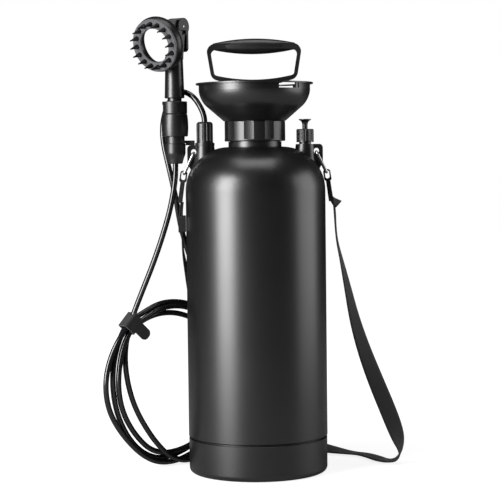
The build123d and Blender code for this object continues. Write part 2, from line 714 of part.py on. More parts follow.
def coupling_body():
    """The fixed core that the sleeve slides on and the handset's nipple plugs into."""
    body = rod(COUPLING_NECK_R, HOSE_NUT_TOP_Z, GUIDE_TOP_Z, AX, AY)
    body = body + rod(COUPLING_CORE_R, GUIDE_TOP_Z - 1, RING_TOP_Z, AX, AY)
    body = body + rod(HOSE_NUT_R - 5.5, HOSE_NUT_TOP_Z - 14, HOSE_NUT_TOP_Z + 1, AX, AY)
    body = body + rod(HOSE_R - SEAT_GAP, HOSE_NUT_BOTTOM_Z, HOSE_NUT_TOP_Z, AX, AY)
    body = body - rod(HOSE_BORE_R, HOSE_NUT_BOTTOM_Z - 1, RING_TOP_Z, AX, AY)
    return body - rod(NIPPLE_R + RUN_GAP, GUIDE_TOP_Z + 2, RING_TOP_Z + 1, AX, AY)


def coupling_collar():
    """The fixed ring above the sleeve, with shallow grip windows."""
    low = SLEEVE_TOP_Z
    body = rod(RING_R, low, RING_TOP_Z, AX, AY)
    body = fillet(body.edges(), 0.8)
    middle = (low + RING_TOP_Z) / 2
    for index in range(RING_WINDOWS):
        turn = 360.0 * index / RING_WINDOWS + 35
        window = Rot(0, 0, turn) * Pos(0, -RING_R, 0) * Box(15, 2.0, 9.5)
        window = Pos(AX, AY, middle - 0.6) * window
        body = body - window
    return body - rod(COUPLING_CORE_R + SEAT_GAP, low - 1, RING_TOP_Z + 1, AX, AY)


def coupling_sleeve():
    """The sliding barrel: a slight belly outside, a spring room inside."""
    low = SLEEVE_BOTTOM_Z
    high = SLEEVE_TOP_Z - RUN_GAP
    middle = (low + high) / 2
    flange_z = high - SLEEVE_FLANGE_H
    belly = ThreePointArc(
        (SLEEVE_R, low + 0.8), (SLEEVE_R + SLEEVE_BELLY, middle), (SLEEVE_R - 0.4, high - 0.8)
    )
    wall = Polyline(
        (SLEEVE_R - 0.4, high - 0.8),
        (SLEEVE_R - 1.2, high),
        (COUPLING_CORE_R + RUN_GAP, high),
        (COUPLING_CORE_R + RUN_GAP, flange_z),
        (COUPLING_NECK_R + RUN_GAP, flange_z),
        (COUPLING_NECK_R + RUN_GAP, low),
        (SLEEVE_R - 0.8, low),
        (SLEEVE_R, low + 0.8),
    )
    return Pos(AX, AY, 0) * revolved(make_face([belly, wall]))


def coupling_spring():
    high = SLEEVE_TOP_Z - RUN_GAP - SLEEVE_FLANGE_H
    turn_r = (COUPLING_CORE_R + COUPLING_NECK_R) / 2
    return helix_spring(turn_r, 0.7, GUIDE_TOP_Z, high, 4, AX, AY)


def hose_nut():
    tip_z = HOSE_NUT_BOTTOM_Z
    top = HOSE_NUT_TOP_Z
    bell = Spline(
        (HOSE_NUT_R, HOSE_NUT_TAPER_Z), (HOSE_NUT_R - 1.6, HOSE_NUT_TAPER_Z - 6), (HOSE_NUT_TIP_R, tip_z + 1),
        tangents=[(0, -1), (-0.25, -1)],
    )
    outline = Polyline(
        (HOSE_NUT_TIP_R, tip_z + 1),
        (HOSE_NUT_TIP_R - 1, tip_z),
        (HOSE_R, tip_z),
        (HOSE_R, top - 14),
        (HOSE_NUT_R - 5.5 + SEAT_GAP, top - 14),
        (HOSE_NUT_R - 5.5 + SEAT_GAP, top),
        (HOSE_NUT_R - 0.8, top),
        (HOSE_NUT_R, top - 0.8),
        (HOSE_NUT_R, HOSE_NUT_TAPER_Z),
    )
    return Pos(AX, AY, 0) * revolved(make_face([bell, outline]))


def handset_clip():
    """A sprung C that grips the coupling's neck, on an arm seated on the left lug."""
    low = HOSE_NUT_TOP_Z + CLIP_GAP
    high = low + CLIP_T
    grip_r = COUPLING_NECK_R + SEAT_GAP
    loop = ring(grip_r + 2.6, grip_r, low, high, AX, AY)
    mouth = Pos(AX - 12, AY - 14, (low + high) / 2) * Rot(0, 0, 50) * Box(20, 20, 10)
    loop = loop - mouth
    inner_x = -(BOSS_X + OUTLET_BASE_R + 0.6)
    outer_x = AX + grip_r + 1
    arm = Pos((inner_x + outer_x) / 2, 0, (LUG_TOP_Z + high) / 2) * Box(
        inner_x - outer_x, LUG_THICK, high - LUG_TOP_Z
    )
    arm = arm - rod(grip_r, low - 2, high + 2, AX, AY)
    arm = arm - rod(HOSE_NUT_R + CLIP_GAP, LUG_TOP_Z - 1, low, AX, AY)
    return loop + arm


def swivel_nipple():
    """The handset's plug: it turns in the coupling's core."""
    low = GUIDE_TOP_Z + 4
    body = rod(NIPPLE_R, low, HANDLE_TUBE_BOTTOM_Z, AX, AY)
    body = body + rod(SWIVEL_NECK_R, RING_TOP_Z + RUN_GAP, HANDLE_TUBE_BOTTOM_Z, AX, AY)
    body = body + rod(HANDLE_TUBE_BORE_R - SEAT_GAP, HANDLE_TUBE_BOTTOM_Z - 1, HANDLE_TUBE_BOTTOM_Z + 14, AX, AY)
    return body - rod(COUPLING_BORE_R, low - 1, HANDLE_TUBE_BOTTOM_Z + 15, AX, AY)


parts["coupling_body"] = coupling_body()
parts["coupling_collar"] = coupling_collar()
parts["coupling_sleeve"] = coupling_sleeve()
parts["coupling_spring"] = coupling_spring()
parts["hose_nut"] = hose_nut()
parts["handset_clip"] = handset_clip()
parts["swivel_nipple"] = swivel_nipple()

HEAD = Pos(AX, AY, 0) * Rot(0, 0, HEAD_TURN)
TILT = radians(FACE_TILT)
FACE_PLANE = Plane(origin=(-FACE_OUT, 0, FACE_Z), x_dir=(0, -1, 0), z_dir=(-cos(TILT), 0, -sin(TILT)))
FACE = HEAD * FACE_PLANE.location


def handset_handle():
    low = HANDLE_TUBE_BOTTOM_Z
    top = HANDLE_TUBE_TOP_Z
    outline = Polyline(
        (HANDLE_TUBE_BORE_R, low),
        (HANDLE_TUBE_FOOT_R - 0.8, low),
        (HANDLE_TUBE_FOOT_R, low + 0.8),
        (HANDLE_TUBE_FOOT_R - 0.2, low + 4),
        (HANDLE_TUBE_TOP_R, top),
        (HANDLE_TUBE_BORE_R, top),
        close=True,
    )
    return Pos(AX, AY, 0) * revolved(make_face(outline))


def drum_edge(wall):
    """The rounded back of the ring drum in (radius, depth), set in by a wall."""
    front = -FACE_PLATE_T
    rear_r = FACE_R - REAR_INSET
    outer = ThreePointArc(
        (FACE_R - wall, front), (FACE_R + DRUM_BULGE - wall, -0.5 * DRUM_DEPTH), (rear_r, wall - DRUM_DEPTH)
    )
    inner = ThreePointArc(
        (rear_r, wall - DRUM_DEPTH), (HOLE_R + INNER_FLARE + wall, -0.55 * DRUM_DEPTH), (HOLE_R + wall, 2 * front)
    )
    lip = Polyline((HOLE_R + wall, 2 * front), (HOLE_R + wall, front), (FACE_R - wall, front))
    return make_face([outer, inner, lip])


def on_face(face):
    """A sketch of (radius, height) turned about the axis of the spray face."""
    return FACE * revolve(Rot(90, 0, 0) * face, axis=Axis.Z)


def spine_outline():
    """The arched spine from the side: from the drum over the pivot down to the handle."""
    foot = HANDLE_TUBE_TOP_R - 1
    low = HANDLE_TUBE_TOP_Z
    core = LEVER_CORE_R
    drum_x = -FACE_OUT + 6
    drum_z = FACE_Z + FACE_R - 2
    under_z = PIVOT_Z - 2.5
    crown = ThreePointArc((drum_x, drum_z), (-14, PIVOT_Z + core), (PIVOT_S, PIVOT_Z + core))
    corner = ThreePointArc(
        (PIVOT_S, PIVOT_Z + core),
        (PIVOT_S + core * cos(pi / 4), PIVOT_Z + core * sin(pi / 4)),
        (PIVOT_S + core, PIVOT_Z),
    )
    back = ThreePointArc((PIVOT_S + core, PIVOT_Z), (foot + 2.5, STEM_Z), (foot, low))
    base = Line((foot, low), (-foot, low))
    throat = ThreePointArc((-foot, low), (THROAT_X - 1, low + 14), (THROAT_X, PIVOT_Z - 12))
    bend = ThreePointArc((THROAT_X, PIVOT_Z - 12), (THROAT_X - 5, PIVOT_Z - 5), (-18, under_z))
    lines = [Line((-18, under_z), (drum_x, under_z)), Line((drum_x, under_z), (drum_x, drum_z))]
    return make_face([crown, corner, back, base, throat, bend] + lines)


def head_shell():
    """The drum, the arched spine behind it and the saddle on top of the handle."""
    drum = on_face(drum_edge(0) - drum_edge(DRUM_WALL))
    spine = extrude(Rot(90, 0, 0) * spine_outline(), amount=SPINE_W / 2, both=True)
    pivot = Pos(PIVOT_S, 0, PIVOT_Z) * Rot(90, 0, 0)
    low = HANDLE_TUBE_TOP_Z
    saddle = loft(
        [
            Pos(0, 0, low) * Circle(HANDLE_TUBE_TOP_R),
            Pos(-1, 0, low + 6) * Ellipse(HANDLE_TUBE_TOP_R, HANDLE_TUBE_TOP_R - 0.5),
            Pos(-1, 0, low + 12) * Ellipse(HANDLE_TUBE_TOP_R - 5, HANDLE_TUBE_TOP_R - 4),
        ]
    )
    shoulder = Pos(0, 0, low) * (Cylinder(3 * SPINE_W, 8) - Cylinder(HANDLE_TUBE_TOP_R, 8))
    stem = Pos(PIVOT_S, 0, STEM_Z) * Rot(0, 90, 0) * Cylinder(STEM_R + PIN_GAP, 24)
    pin = pivot * Cylinder(PIVOT_PIN_R + PIN_GAP, 3 * SPINE_W)
    body = HEAD * (spine - shoulder + saddle - pin - stem)
    front_block = FACE * Pos(0, 0, 30) * Cylinder(60, 60)
    hole = FACE * Pos(0, 0, 30 - DRUM_DEPTH / 2 - 4) * Cylinder(HOLE_R, 60 + DRUM_DEPTH)
    return body - front_block - on_face(drum_edge(0)) - hole + drum


def face_plate():
    body = on_face(
        make_face(
            Polyline(
                (HOLE_R, -FACE_PLATE_T),
                (FACE_R, -FACE_PLATE_T),
                (FACE_R, -1.0),
                (FACE_R - 1.0, 0),
                (HOLE_R + 0.6, 0),
                (HOLE_R, -0.6),
                close=True,
            )
        )
    )
    for place in PolarLocations(NOZZLE_RING_R, NOZZLES):
        body = body - FACE * place * Cylinder(NOZZLE_BASE_R + SEAT_GAP, 4 * FACE_PLATE_T)
    return body


def nozzle_mat():
    """A soft ring behind the face plate with a cone through each of its holes."""
    mat_r = NOZZLE_RING_R + NOZZLE_BASE_R + 0.8
    mat_in = NOZZLE_RING_R - NOZZLE_BASE_R - 0.4
    middle = -FACE_PLATE_T - NOZZLE_MAT_T / 2
    mat = Pos(0, 0, middle) * (Cylinder(mat_r, NOZZLE_MAT_T) - Cylinder(mat_in, NOZZLE_MAT_T))
    outline = Polyline(
        (0, -FACE_PLATE_T - 0.5),
        (NOZZLE_BASE_R, -FACE_PLATE_T - 0.5),
        (NOZZLE_BASE_R, 0.6),
        (NOZZLE_TIP_R + 0.4, NOZZLE_LEN - 4),
        (NOZZLE_TIP_R, NOZZLE_LEN),
        (0, NOZZLE_LEN),
        close=True,
    )
    cone = revolve(Rot(90, 0, 0) * make_face(outline), axis=Axis.Z)
    for place in PolarLocations(NOZZLE_RING_R, NOZZLES):
        mat = mat + place * cone
    return FACE * mat


def trigger():
    """A thumb lever: a hood round the spine's top corner with a tail hanging behind."""
    pivot = Pos(PIVOT_S, 0, PIVOT_Z) * Rot(90, 0, 0)
    head = pivot * Cylinder(LEVER_HEAD_R, LEVER_W)
    tail_top = PIVOT_Z - 3
    tail_height = tail_top - LEVER_TAIL_Z
    tail_x = LEVER_TAIL_S - LEVER_TAIL_T / 2
    tail = Pos(tail_x, 0, LEVER_TAIL_Z + tail_height / 2) * Box(LEVER_TAIL_T, 0.8 * LEVER_W, tail_height)
    tail = fillet(tail.edges().filter_by(Axis.X).group_by(Axis.Z)[0], 5)
    body = head + tail
    slot = pivot * Cylinder(LEVER_CORE_R + 1.2, EAR_W + 2.4)
    body = body - slot
    front = Pos(PIVOT_S - 20 - 1.5, 0, PIVOT_Z - 4) * Box(40, EAR_W + 2.4, 40)
    below = Pos(PIVOT_S + LEVER_CORE_R + 0.6 - 20, 0, PIVOT_Z - 20) * Box(40, EAR_W + 2.4, 40)
    body = body - front - below
    trim = Pos(PIVOT_S - 9, 0, PIVOT_Z - 20) * Box(27, 3 * LEVER_W, 30)
    body = body - trim
    return HEAD * (body - pivot * Cylinder(PIVOT_PIN_R + SEAT_GAP, 2 * LEVER_W))


def trigger_pin():
    return HEAD * Pos(PIVOT_S, 0, PIVOT_Z) * Rot(90, 0, 0) * Cylinder(PIVOT_PIN_R, LEVER_W - 0.6)


def valve_stem():
    start = PIVOT_S - 8
    end = LEVER_TAIL_S - LEVER_TAIL_T - RUN_GAP
    stem = Pos((start + end) / 2, 0, STEM_Z) * Rot(0, 90, 0) * Cylinder(STEM_R, end - start)
    return HEAD * stem


parts["handset_handle"] = handset_handle()
parts["head_shell"] = head_shell()
parts["face_plate"] = face_plate()
parts["nozzle_mat"] = nozzle_mat()
parts["trigger"] = trigger()
parts["trigger_pin"] = trigger_pin()
parts["valve_stem"] = valve_stem()

COIL_NORMAL = Vector(-sin(radians(COIL_TURN)), cos(radians(COIL_TURN)), 0)
COIL_ALONG = Vector(cos(radians(COIL_TURN)), sin(radians(COIL_TURN)), 0)
COIL_CENTRE = COIL_NORMAL * COIL_OUT + COIL_ALONG * COIL_CENTRE_T + Vector(0, 0, COIL_CENTRE_Z)
COIL = Plane(origin=COIL_CENTRE, x_dir=COIL_ALONG, z_dir=-COIL_NORMAL).location



def beside(bearing, out, height):
    """A point at a bearing round the tank from +X, a distance out from the tank's side."""
    reach = TANK_R + out
    return (reach * cos(radians(bearing)), reach * sin(radians(bearing)), height)


# The hose's way from the outlet nut to the coil
OUTLET_ROUTE = [
    (-BOSS_X, 0, OUTLET_NUT_TOP_Z),
    (-BOSS_X, 0, OUTLET_NUT_TOP_Z + 7),
    beside(178.8, -21.6, 489.5),
    beside(175.8, -12.1, 504),
    beside(172.5, 2.5, 512),
    beside(170.9, 16.5, 507.5),
    beside(170.8, 25.6, 492.5),
    beside(171.2, 31, 475),
    beside(171.5, 32.3, 457),
    beside(171.7, 30.6, 439),
    beside(171.9, 26.5, 421),
    beside(171.8, 22.3, 402),
    beside(171.3, 18.4, 383),
    beside(169.9, 15, 364),
    beside(167.3, 13.5, 345),
    beside(163, 12.3, 326),
    beside(157.2, 11.2, 306),
    beside(151.3, 9.7, 285),
    beside(145.1, 7.8, 263),
    beside(138, 6.7, 241),
    beside(130.3, 6.2, 216),
    beside(122.2, 6.1, 186),
]

# The hose's way from the coil up to the handset's hose nut
HANDSET_ROUTE = [
    (AX, AY, HOSE_NUT_BOTTOM_Z),
    (AX, AY, 402),
    beside(-178, 15, 385),
    beside(-177.8, 18.2, 367),
    beside(-178.1, 22.6, 348),
    beside(-178.8, 28.8, 327),
    beside(-179.7, 37.4, 301.5),
    beside(179.1, 46.7, 277),
    beside(178.1, 55.7, 255.5),
    beside(177.3, 64.3, 235),
    beside(176.8, 72.2, 215),
    beside(177, 80.2, 200),
]


def hose_path(name, points):
    """Straight runs joined by the largest arcs that they allow."""
    corners = [Vector(*point) for point in points]
    radii = []
    for before, corner, after in zip(corners, corners[1:], corners[2:]):
        turn = radians((corner - before).get_angle(after - corner))
        shorter = min((corner - before).length, (after - corner).length)
        radii.append(0.45 * shorter / tan(turn / 2))
    print(name, "radii", [round(radius) for radius in radii])
    return FilletPolyline(*points, radius=radii)


def hose_run(name, points):
    path = hose_path(name, points)
    start = Plane(origin=path @ 0, z_dir=path % 0)
    tube = sweep(start * Circle(HOSE_R), path=path)
    print(name, "length", round(path.length), "volume share", tube.volume / (pi * HOSE_R**2 * path.length))
    return tube


# The coil's outer and inner reach at bearings in its own plane
COIL_OUTER = ((0, 114), (40, 114), (85, 115.5), (107, 112), (130, 110.5), (152, 106), (175, 105), (198, 104.5),
              (220, 103.5), (242, 108), (265, 114.5), (288, 118), (310, 117), (335, 115.5))
COIL_INNER = ((0, 93), (40, 93), (85, 93.5), (107, 93), (130, 91), (152, 74), (175, 62), (198, 58),
              (220, 61), (242, 72), (265, 93), (288, 91), (310, 91), (335, 92))


def coil_edge(reach):
    """A closed smooth line through the coil's reach at each bearing."""
    points = [(r * cos(radians(a)), r * sin(radians(a))) for a, r in reach]
    return make_face(Spline(*points, periodic=True))


def hose_coil():
    """The coil's outer shape: bundled at the tie and the foot, fanned out on its left."""
    body = extrude(coil_edge(COIL_OUTER) - coil_edge(COIL_INNER), amount=COIL_THICK / 2, both=True)
    floor_cut = Pos(0, -COIL_CENTRE_Z - 50, 0) * Box(600, 100, 4 * COIL_THICK)
    return COIL * (body - floor_cut)


def hose_tie():
    """A hook-and-loop band round the bundle, with its rounded tail."""
    depth = COIL_THICK + 1.0
    at = radians(TIE_ANGLE)
    place = COIL * Pos(TIE_REACH * cos(at), TIE_REACH * sin(at), 0) * Rot(0, 0, TIE_TURN)
    outer = Box(TIE_ROOM + 2 * TIE_BAND, TIE_WIDTH, depth + 2 * TIE_BAND)
    outer = fillet(outer.edges().filter_by(Axis.Y), 3.0)
    inner = fillet(Box(TIE_ROOM, 2 * TIE_WIDTH, depth).edges().filter_by(Axis.Y), 1.5)
    tab = Box(TIE_TAB_LEN, 0.7 * TIE_WIDTH, TIE_BAND)
    tab = fillet(tab.edges().filter_by(Axis.Z).group_by(Axis.X)[0], 0.3 * TIE_WIDTH)
    tab = Pos(-(TIE_ROOM + TIE_TAB_LEN) / 2, 0, (depth + TIE_BAND) / 2) * tab
    return place * (outer + tab - inner)


parts["hose_outlet_run"] = hose_run("hose_outlet_run", OUTLET_ROUTE)
parts["hose_handset_run"] = hose_run("hose_handset_run", HANDSET_ROUTE)
parts["hose_coil"] = hose_coil()
parts["hose_tie"] = hose_tie()

LINK_HALF = LUG_THICK / 2 + LINK_WIRE_R + 1.5
LINK_SHIFT = 0.6
LOOP_BAR_Z = -LOOP_DROP - LOOP_H / 2 + LOOP_RAIL / 2


def hook_frame(side):
    """The place of a snap hook: its jaw's centre, with the lower end leaning out."""
    return Pos(side * HOOK_X, 0, HOOK_Z) * Rot(0, -side * HOOK_TILT, 0)


def link(side):
    """A wire link from the lug's eye down to the hook's jaw."""
    top = Vector(side * EYE_X, 0, EYE_Z - EYE_R + LINK_WIRE_R + SEAT_GAP)
    seat = Pos(-side * LINK_SHIFT, 0, JAW_HALF_H - LINK_WIRE_R - SEAT_GAP)
    low = (hook_frame(side) * seat).position
    down = (low - top).normalized()
    frame = Plane(origin=(top + low) / 2, x_dir=(0, 1, 0), z_dir=down.cross(Vector(0, 1, 0)))
    loop = RectangleRounded(2 * LINK_HALF, (low - top).length, 3.2).wire()
    path = frame.location * loop
    start = Plane(origin=path @ 0, z_dir=path % 0)
    return sweep(start * Circle(LINK_WIRE_R), path=path)


def snap_hook(side):
    """A moulded hook: a jaw at the top, a shank, and a wide loop for the webbing."""
    outer_half = JAW_HALF_W + HOOK_RIM
    top = JAW_HALF_H + HOOK_RIM
    low = -JAW_HALF_H - JAW_CHIN
    loop_top = -LOOP_DROP + LOOP_H / 2
    flat = Rot(90, 0, 0)
    jaw = RectangleRounded(2 * outer_half, top - low, 0.8 * outer_half)
    jaw = Pos(0, (top + low) / 2, 0) * extrude(jaw, amount=HOOK_T / 2, both=True)
    mouth = extrude(RectangleRounded(2 * JAW_HALF_W, 2 * JAW_HALF_H, 0.9 * JAW_HALF_W), amount=HOOK_T, both=True)
    shank = Box(2 * JAW_HALF_W, low + 3 - loop_top + 1, HOOK_T - 1)
    shank = Pos(0, (low + 3 + loop_top - 1) / 2, 0) * shank
    body = flat * (jaw + shank - mouth)
    frame = Box(LOOP_T, LOOP_W, LOOP_H) - Box(2 * LOOP_T, LOOP_W - 2 * LOOP_RAIL, LOOP_H - 2 * LOOP_RAIL)
    frame = fillet(frame.edges().filter_by(Axis.X).group_by(Axis.Z)[0], 2.0)
    body = body + Pos(0, 0, -LOOP_DROP) * frame
    rim_x = side * (JAW_HALF_W + HOOK_RIM / 2)
    slot_top = GATE_TOP + RUN_GAP
    fork = Pos(rim_x, 0, (slot_top + PIVOT_LOW) / 2) * Box(HOOK_RIM + 1.2, GATE_W + 2 * RUN_GAP, slot_top - PIVOT_LOW)
    gap = Pos(rim_x, 0, (slot_top + CHEEK_TOP) / 2) * Box(HOOK_RIM + 1.2, 2 * HOOK_T, slot_top - CHEEK_TOP)
    pivot = Pos(side * GATE_X, 0, PIVOT_LOW) * Rot(90, 0, 0)
    body = body - fork - gap - pivot * Cylinder(GATE_KNUCKLE_R + RUN_GAP, GATE_W + 2 * RUN_GAP)
    return hook_frame(side) * (body - pivot * Cylinder(GATE_PIN_R + PIN_GAP, 2 * HOOK_T))


def snap_gate(side):
    """The hook's sprung gate with its own hinge pin."""
    blade = Pos(side * GATE_BLADE_X, 0, (PIVOT_LOW + GATE_TOP) / 2) * Box(GATE_T, GATE_W, GATE_TOP - PIVOT_LOW)
    pivot = Pos(side * GATE_X, 0, PIVOT_LOW) * Rot(90, 0, 0)
    body = blade + pivot * Cylinder(GATE_KNUCKLE_R, GATE_W) + pivot * Cylinder(GATE_PIN_R, HOOK_T - 0.4)
    return hook_frame(side) * body


# The webbing's way, each point with the direction of its width
STRAP_ROUTE = [
    (beside(0, 11.1, 363), (0, 1, 0)),
    (beside(0, 12.5, 348), (0, 1, 0)),
    (beside(0, 13.1, 331), (0, 1, 0)),
    (beside(0.5, 14.9, 309), (0.1, 1, 0)),
    (beside(1, 21.1, 282), (0.25, 1, 0)),
    (beside(1.9, 29.2, 245), (0.45, 1, 0.15)),
    (beside(3, 38.3, 202), (0.7, 0.9, 0.25)),
    (beside(4.4, 51.5, 159), (1, 0.75, 0.4)),
    (beside(5.7, 67.7, 117), (1, 0.35, 0.4)),
    (beside(6.7, 85.3, 75), (1, 0.15, 0.35)),
    (beside(7.8, 98.3, 42), (1, 0.6, 0.2)),
    (beside(8.4, 104.6, 21), (0.35, 1, 0.15)),
    (beside(9.7, 101.8, 9.5), (0.2, 1, 0.35)),
    (beside(12.4, 92.8, 3.6), (0.6, 0.8, 0.1)),
    (beside(16.9, 85.2, 2.4), (0.75, 0.6, 0)),
    (beside(25.2, 85, 2.4), (1, 0.3, 0)),
    (beside(33.9, 85.9, 2.4), (0.8, 0.6, 0)),
    (beside(40.7, 78.1, 2.4), (0.5, 0.9, 0)),
    (beside(47.5, 69.3, 5), (0.15, 1, 0.25)),
    (beside(55.3, 57.4, 9.5), (0, 0.9, 0.5)),
    (beside(62.7, 41.6, 16), (0, 0.6, 0.8)),
    (beside(71.1, 23.8, 28), (0.25, 0.2, 1)),
    (beside(83.3, 9.7, 50), (0.5, 0.1, 1)),
    (beside(100.6, 4.1, 90), (0.8, 0.15, 0.7)),
    (beside(119.6, 3.8, 135), (0.8, 0.5, 0.75)),
    (beside(138, 3.4, 182), (0.6, 0.7, 0.6)),
    (beside(156.2, 3.2, 232), (0.3, 0.8, 0.45)),
    (beside(171.8, 4.1, 280), (0.1, 1, 0.2)),
    ((SLIDER_X, 0, SLIDER_Z - 1.5 * SLIDER_H), (0, 1, 0)),
    ((SLIDER_X, 0, SLIDER_Z + 0.5 * SLIDER_H), (0, 1, 0)),
    ((SLIDER_X, 0, SLIDER_Z + 0.8 * SLIDER_H), (0, 1, 0)),
    (beside(180, 3.9, 363), (0, 1, 0)),
]


def strap_sections():
    """Cross-sections of the webbing along its smooth line through the route."""
    places = [Vector(*place) for place, _ in STRAP_ROUTE]
    widths = [Vector(*width).normalized() for _, width in STRAP_ROUTE]
    centres = [places[0]]
    turns = [widths[0]]
    last = len(places) - 1
    for index in range(1, last):
        before = places[0] if index == 1 else (places[index - 1] + places[index]) / 2
        after = places[last] if index == last - 1 else (places[index] + places[index + 1]) / 2
        centres.append((before + places[index] * 2 + after) / 4)
        turns.append(widths[index])
        centres.append(after)
        turns.append((widths[index] + widths[index + 1]).normalized())
    return centres, turns


def strap_end(side):
    """The webbing's sewn turn round the bar of a hook's loop."""
    room_x = LOOP_T + 2 * SEAT_GAP
    room_z = LOOP_RAIL + 2 * SEAT_GAP
    outer = RectangleRounded(room_x + 2 * STRAP_T, room_z + 2 * STRAP_T, 2.4)
    wrap = extrude(outer - Rectangle(room_x, room_z), amount=STRAP_W / 2, both=True)
    return hook_frame(side) * Pos(0, 0, LOOP_BAR_Z) * Rot(90, 0, 0) * wrap


def strap_webbing():
    centres, turns = strap_sections()
    sections = []
    for index, (centre, across) in enumerate(zip(centres, turns)):
        ahead = centres[min(index + 1, len(centres) - 1)] - centres[max(index - 1, 0)]
        ahead = ahead.normalized()
        across = (across - ahead * across.dot(ahead)).normalized()
        place = Plane(origin=centre, x_dir=across, z_dir=ahead)
        sections.append(place * Rectangle(STRAP_W, STRAP_T))
    body = loft(sections, ruled=True)
    for side in (1, -1):
        room = hook_frame(side) * Pos(0, 0, LOOP_BAR_Z) * Box(
            LOOP_T + 2 * SEAT_GAP, 2 * STRAP_W, LOOP_RAIL + 2 * SEAT_GAP
        )
        body = body - room + strap_end(side)
    return body


def strap_slider():
    """A ladder lock that the webbing runs through."""
    body = Box(SLIDER_T, SLIDER_W, SLIDER_H)
    body = fillet(body.edges().filter_by(Axis.X), 3.0)
    body = body - Box(STRAP_T + 2 * RUN_GAP, STRAP_W + 2 * RUN_GAP, 2 * SLIDER_H)
    for level in (-0.25, 0.25):
        body = body - Pos(0, 0, level * SLIDER_H) * Box(2 * SLIDER_T, STRAP_W - 1, 0.24 * SLIDER_H)
    return Pos(SLIDER_X, 0, SLIDER_Z) * body


for side, label in ((1, "right"), (-1, "left")):
    parts["link_" + label] = link(side)
    parts["snap_hook_" + label] = snap_hook(side)
    parts["snap_gate_" + label] = snap_gate(side)
parts["strap_webbing"] = strap_webbing()
parts["strap_slider"] = strap_slider()


def export_all():
    os.makedirs("parts", exist_ok=True)
    for name, shape in parts.items():
        solids = shape.solids()
        whole = solids[0] if len(solids) == 1 else Compound(children=list(solids))
        whole.label = name
        export_step(whole, os.path.join("parts", name + ".step"))


export_all()
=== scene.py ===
"""Looks of a hand-pumped pressure shower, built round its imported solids."""

import json
import logging
import math
from dataclasses import dataclass
from enum import Enum
from typing import Optional, Sequence, Union

import bpy
from mathutils import Matrix, Vector

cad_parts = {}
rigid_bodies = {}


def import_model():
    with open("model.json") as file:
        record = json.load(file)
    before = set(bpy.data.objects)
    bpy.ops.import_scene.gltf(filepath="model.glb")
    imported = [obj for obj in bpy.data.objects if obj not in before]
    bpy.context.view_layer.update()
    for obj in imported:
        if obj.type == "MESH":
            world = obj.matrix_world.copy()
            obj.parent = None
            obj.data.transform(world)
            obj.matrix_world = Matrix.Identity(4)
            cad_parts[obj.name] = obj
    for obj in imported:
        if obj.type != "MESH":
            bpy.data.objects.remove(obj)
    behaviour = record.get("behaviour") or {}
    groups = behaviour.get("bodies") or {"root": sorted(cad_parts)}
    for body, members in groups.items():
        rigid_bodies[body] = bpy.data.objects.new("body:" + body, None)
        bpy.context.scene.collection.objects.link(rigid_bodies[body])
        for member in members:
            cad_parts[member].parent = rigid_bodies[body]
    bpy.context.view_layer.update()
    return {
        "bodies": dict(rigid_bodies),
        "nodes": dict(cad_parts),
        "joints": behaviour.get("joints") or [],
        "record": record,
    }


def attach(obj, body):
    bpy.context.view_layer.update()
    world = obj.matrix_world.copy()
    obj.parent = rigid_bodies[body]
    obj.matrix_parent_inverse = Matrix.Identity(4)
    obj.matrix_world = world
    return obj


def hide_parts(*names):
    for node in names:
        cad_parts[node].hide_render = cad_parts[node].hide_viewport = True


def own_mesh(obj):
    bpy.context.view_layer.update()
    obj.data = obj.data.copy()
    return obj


logging.basicConfig(level=logging.INFO, format="%(message)s")
LOG = logging.getLogger("shower")

Colour = tuple[float, float, float]
Point = tuple[float, float, float]


class Weave(Enum):
    """The ways the cloth pieces of the shower are woven."""

    WEBBING = "webbing"
    HOOK_BAND = "hook_band"


# Shader node groups that more than one finish uses


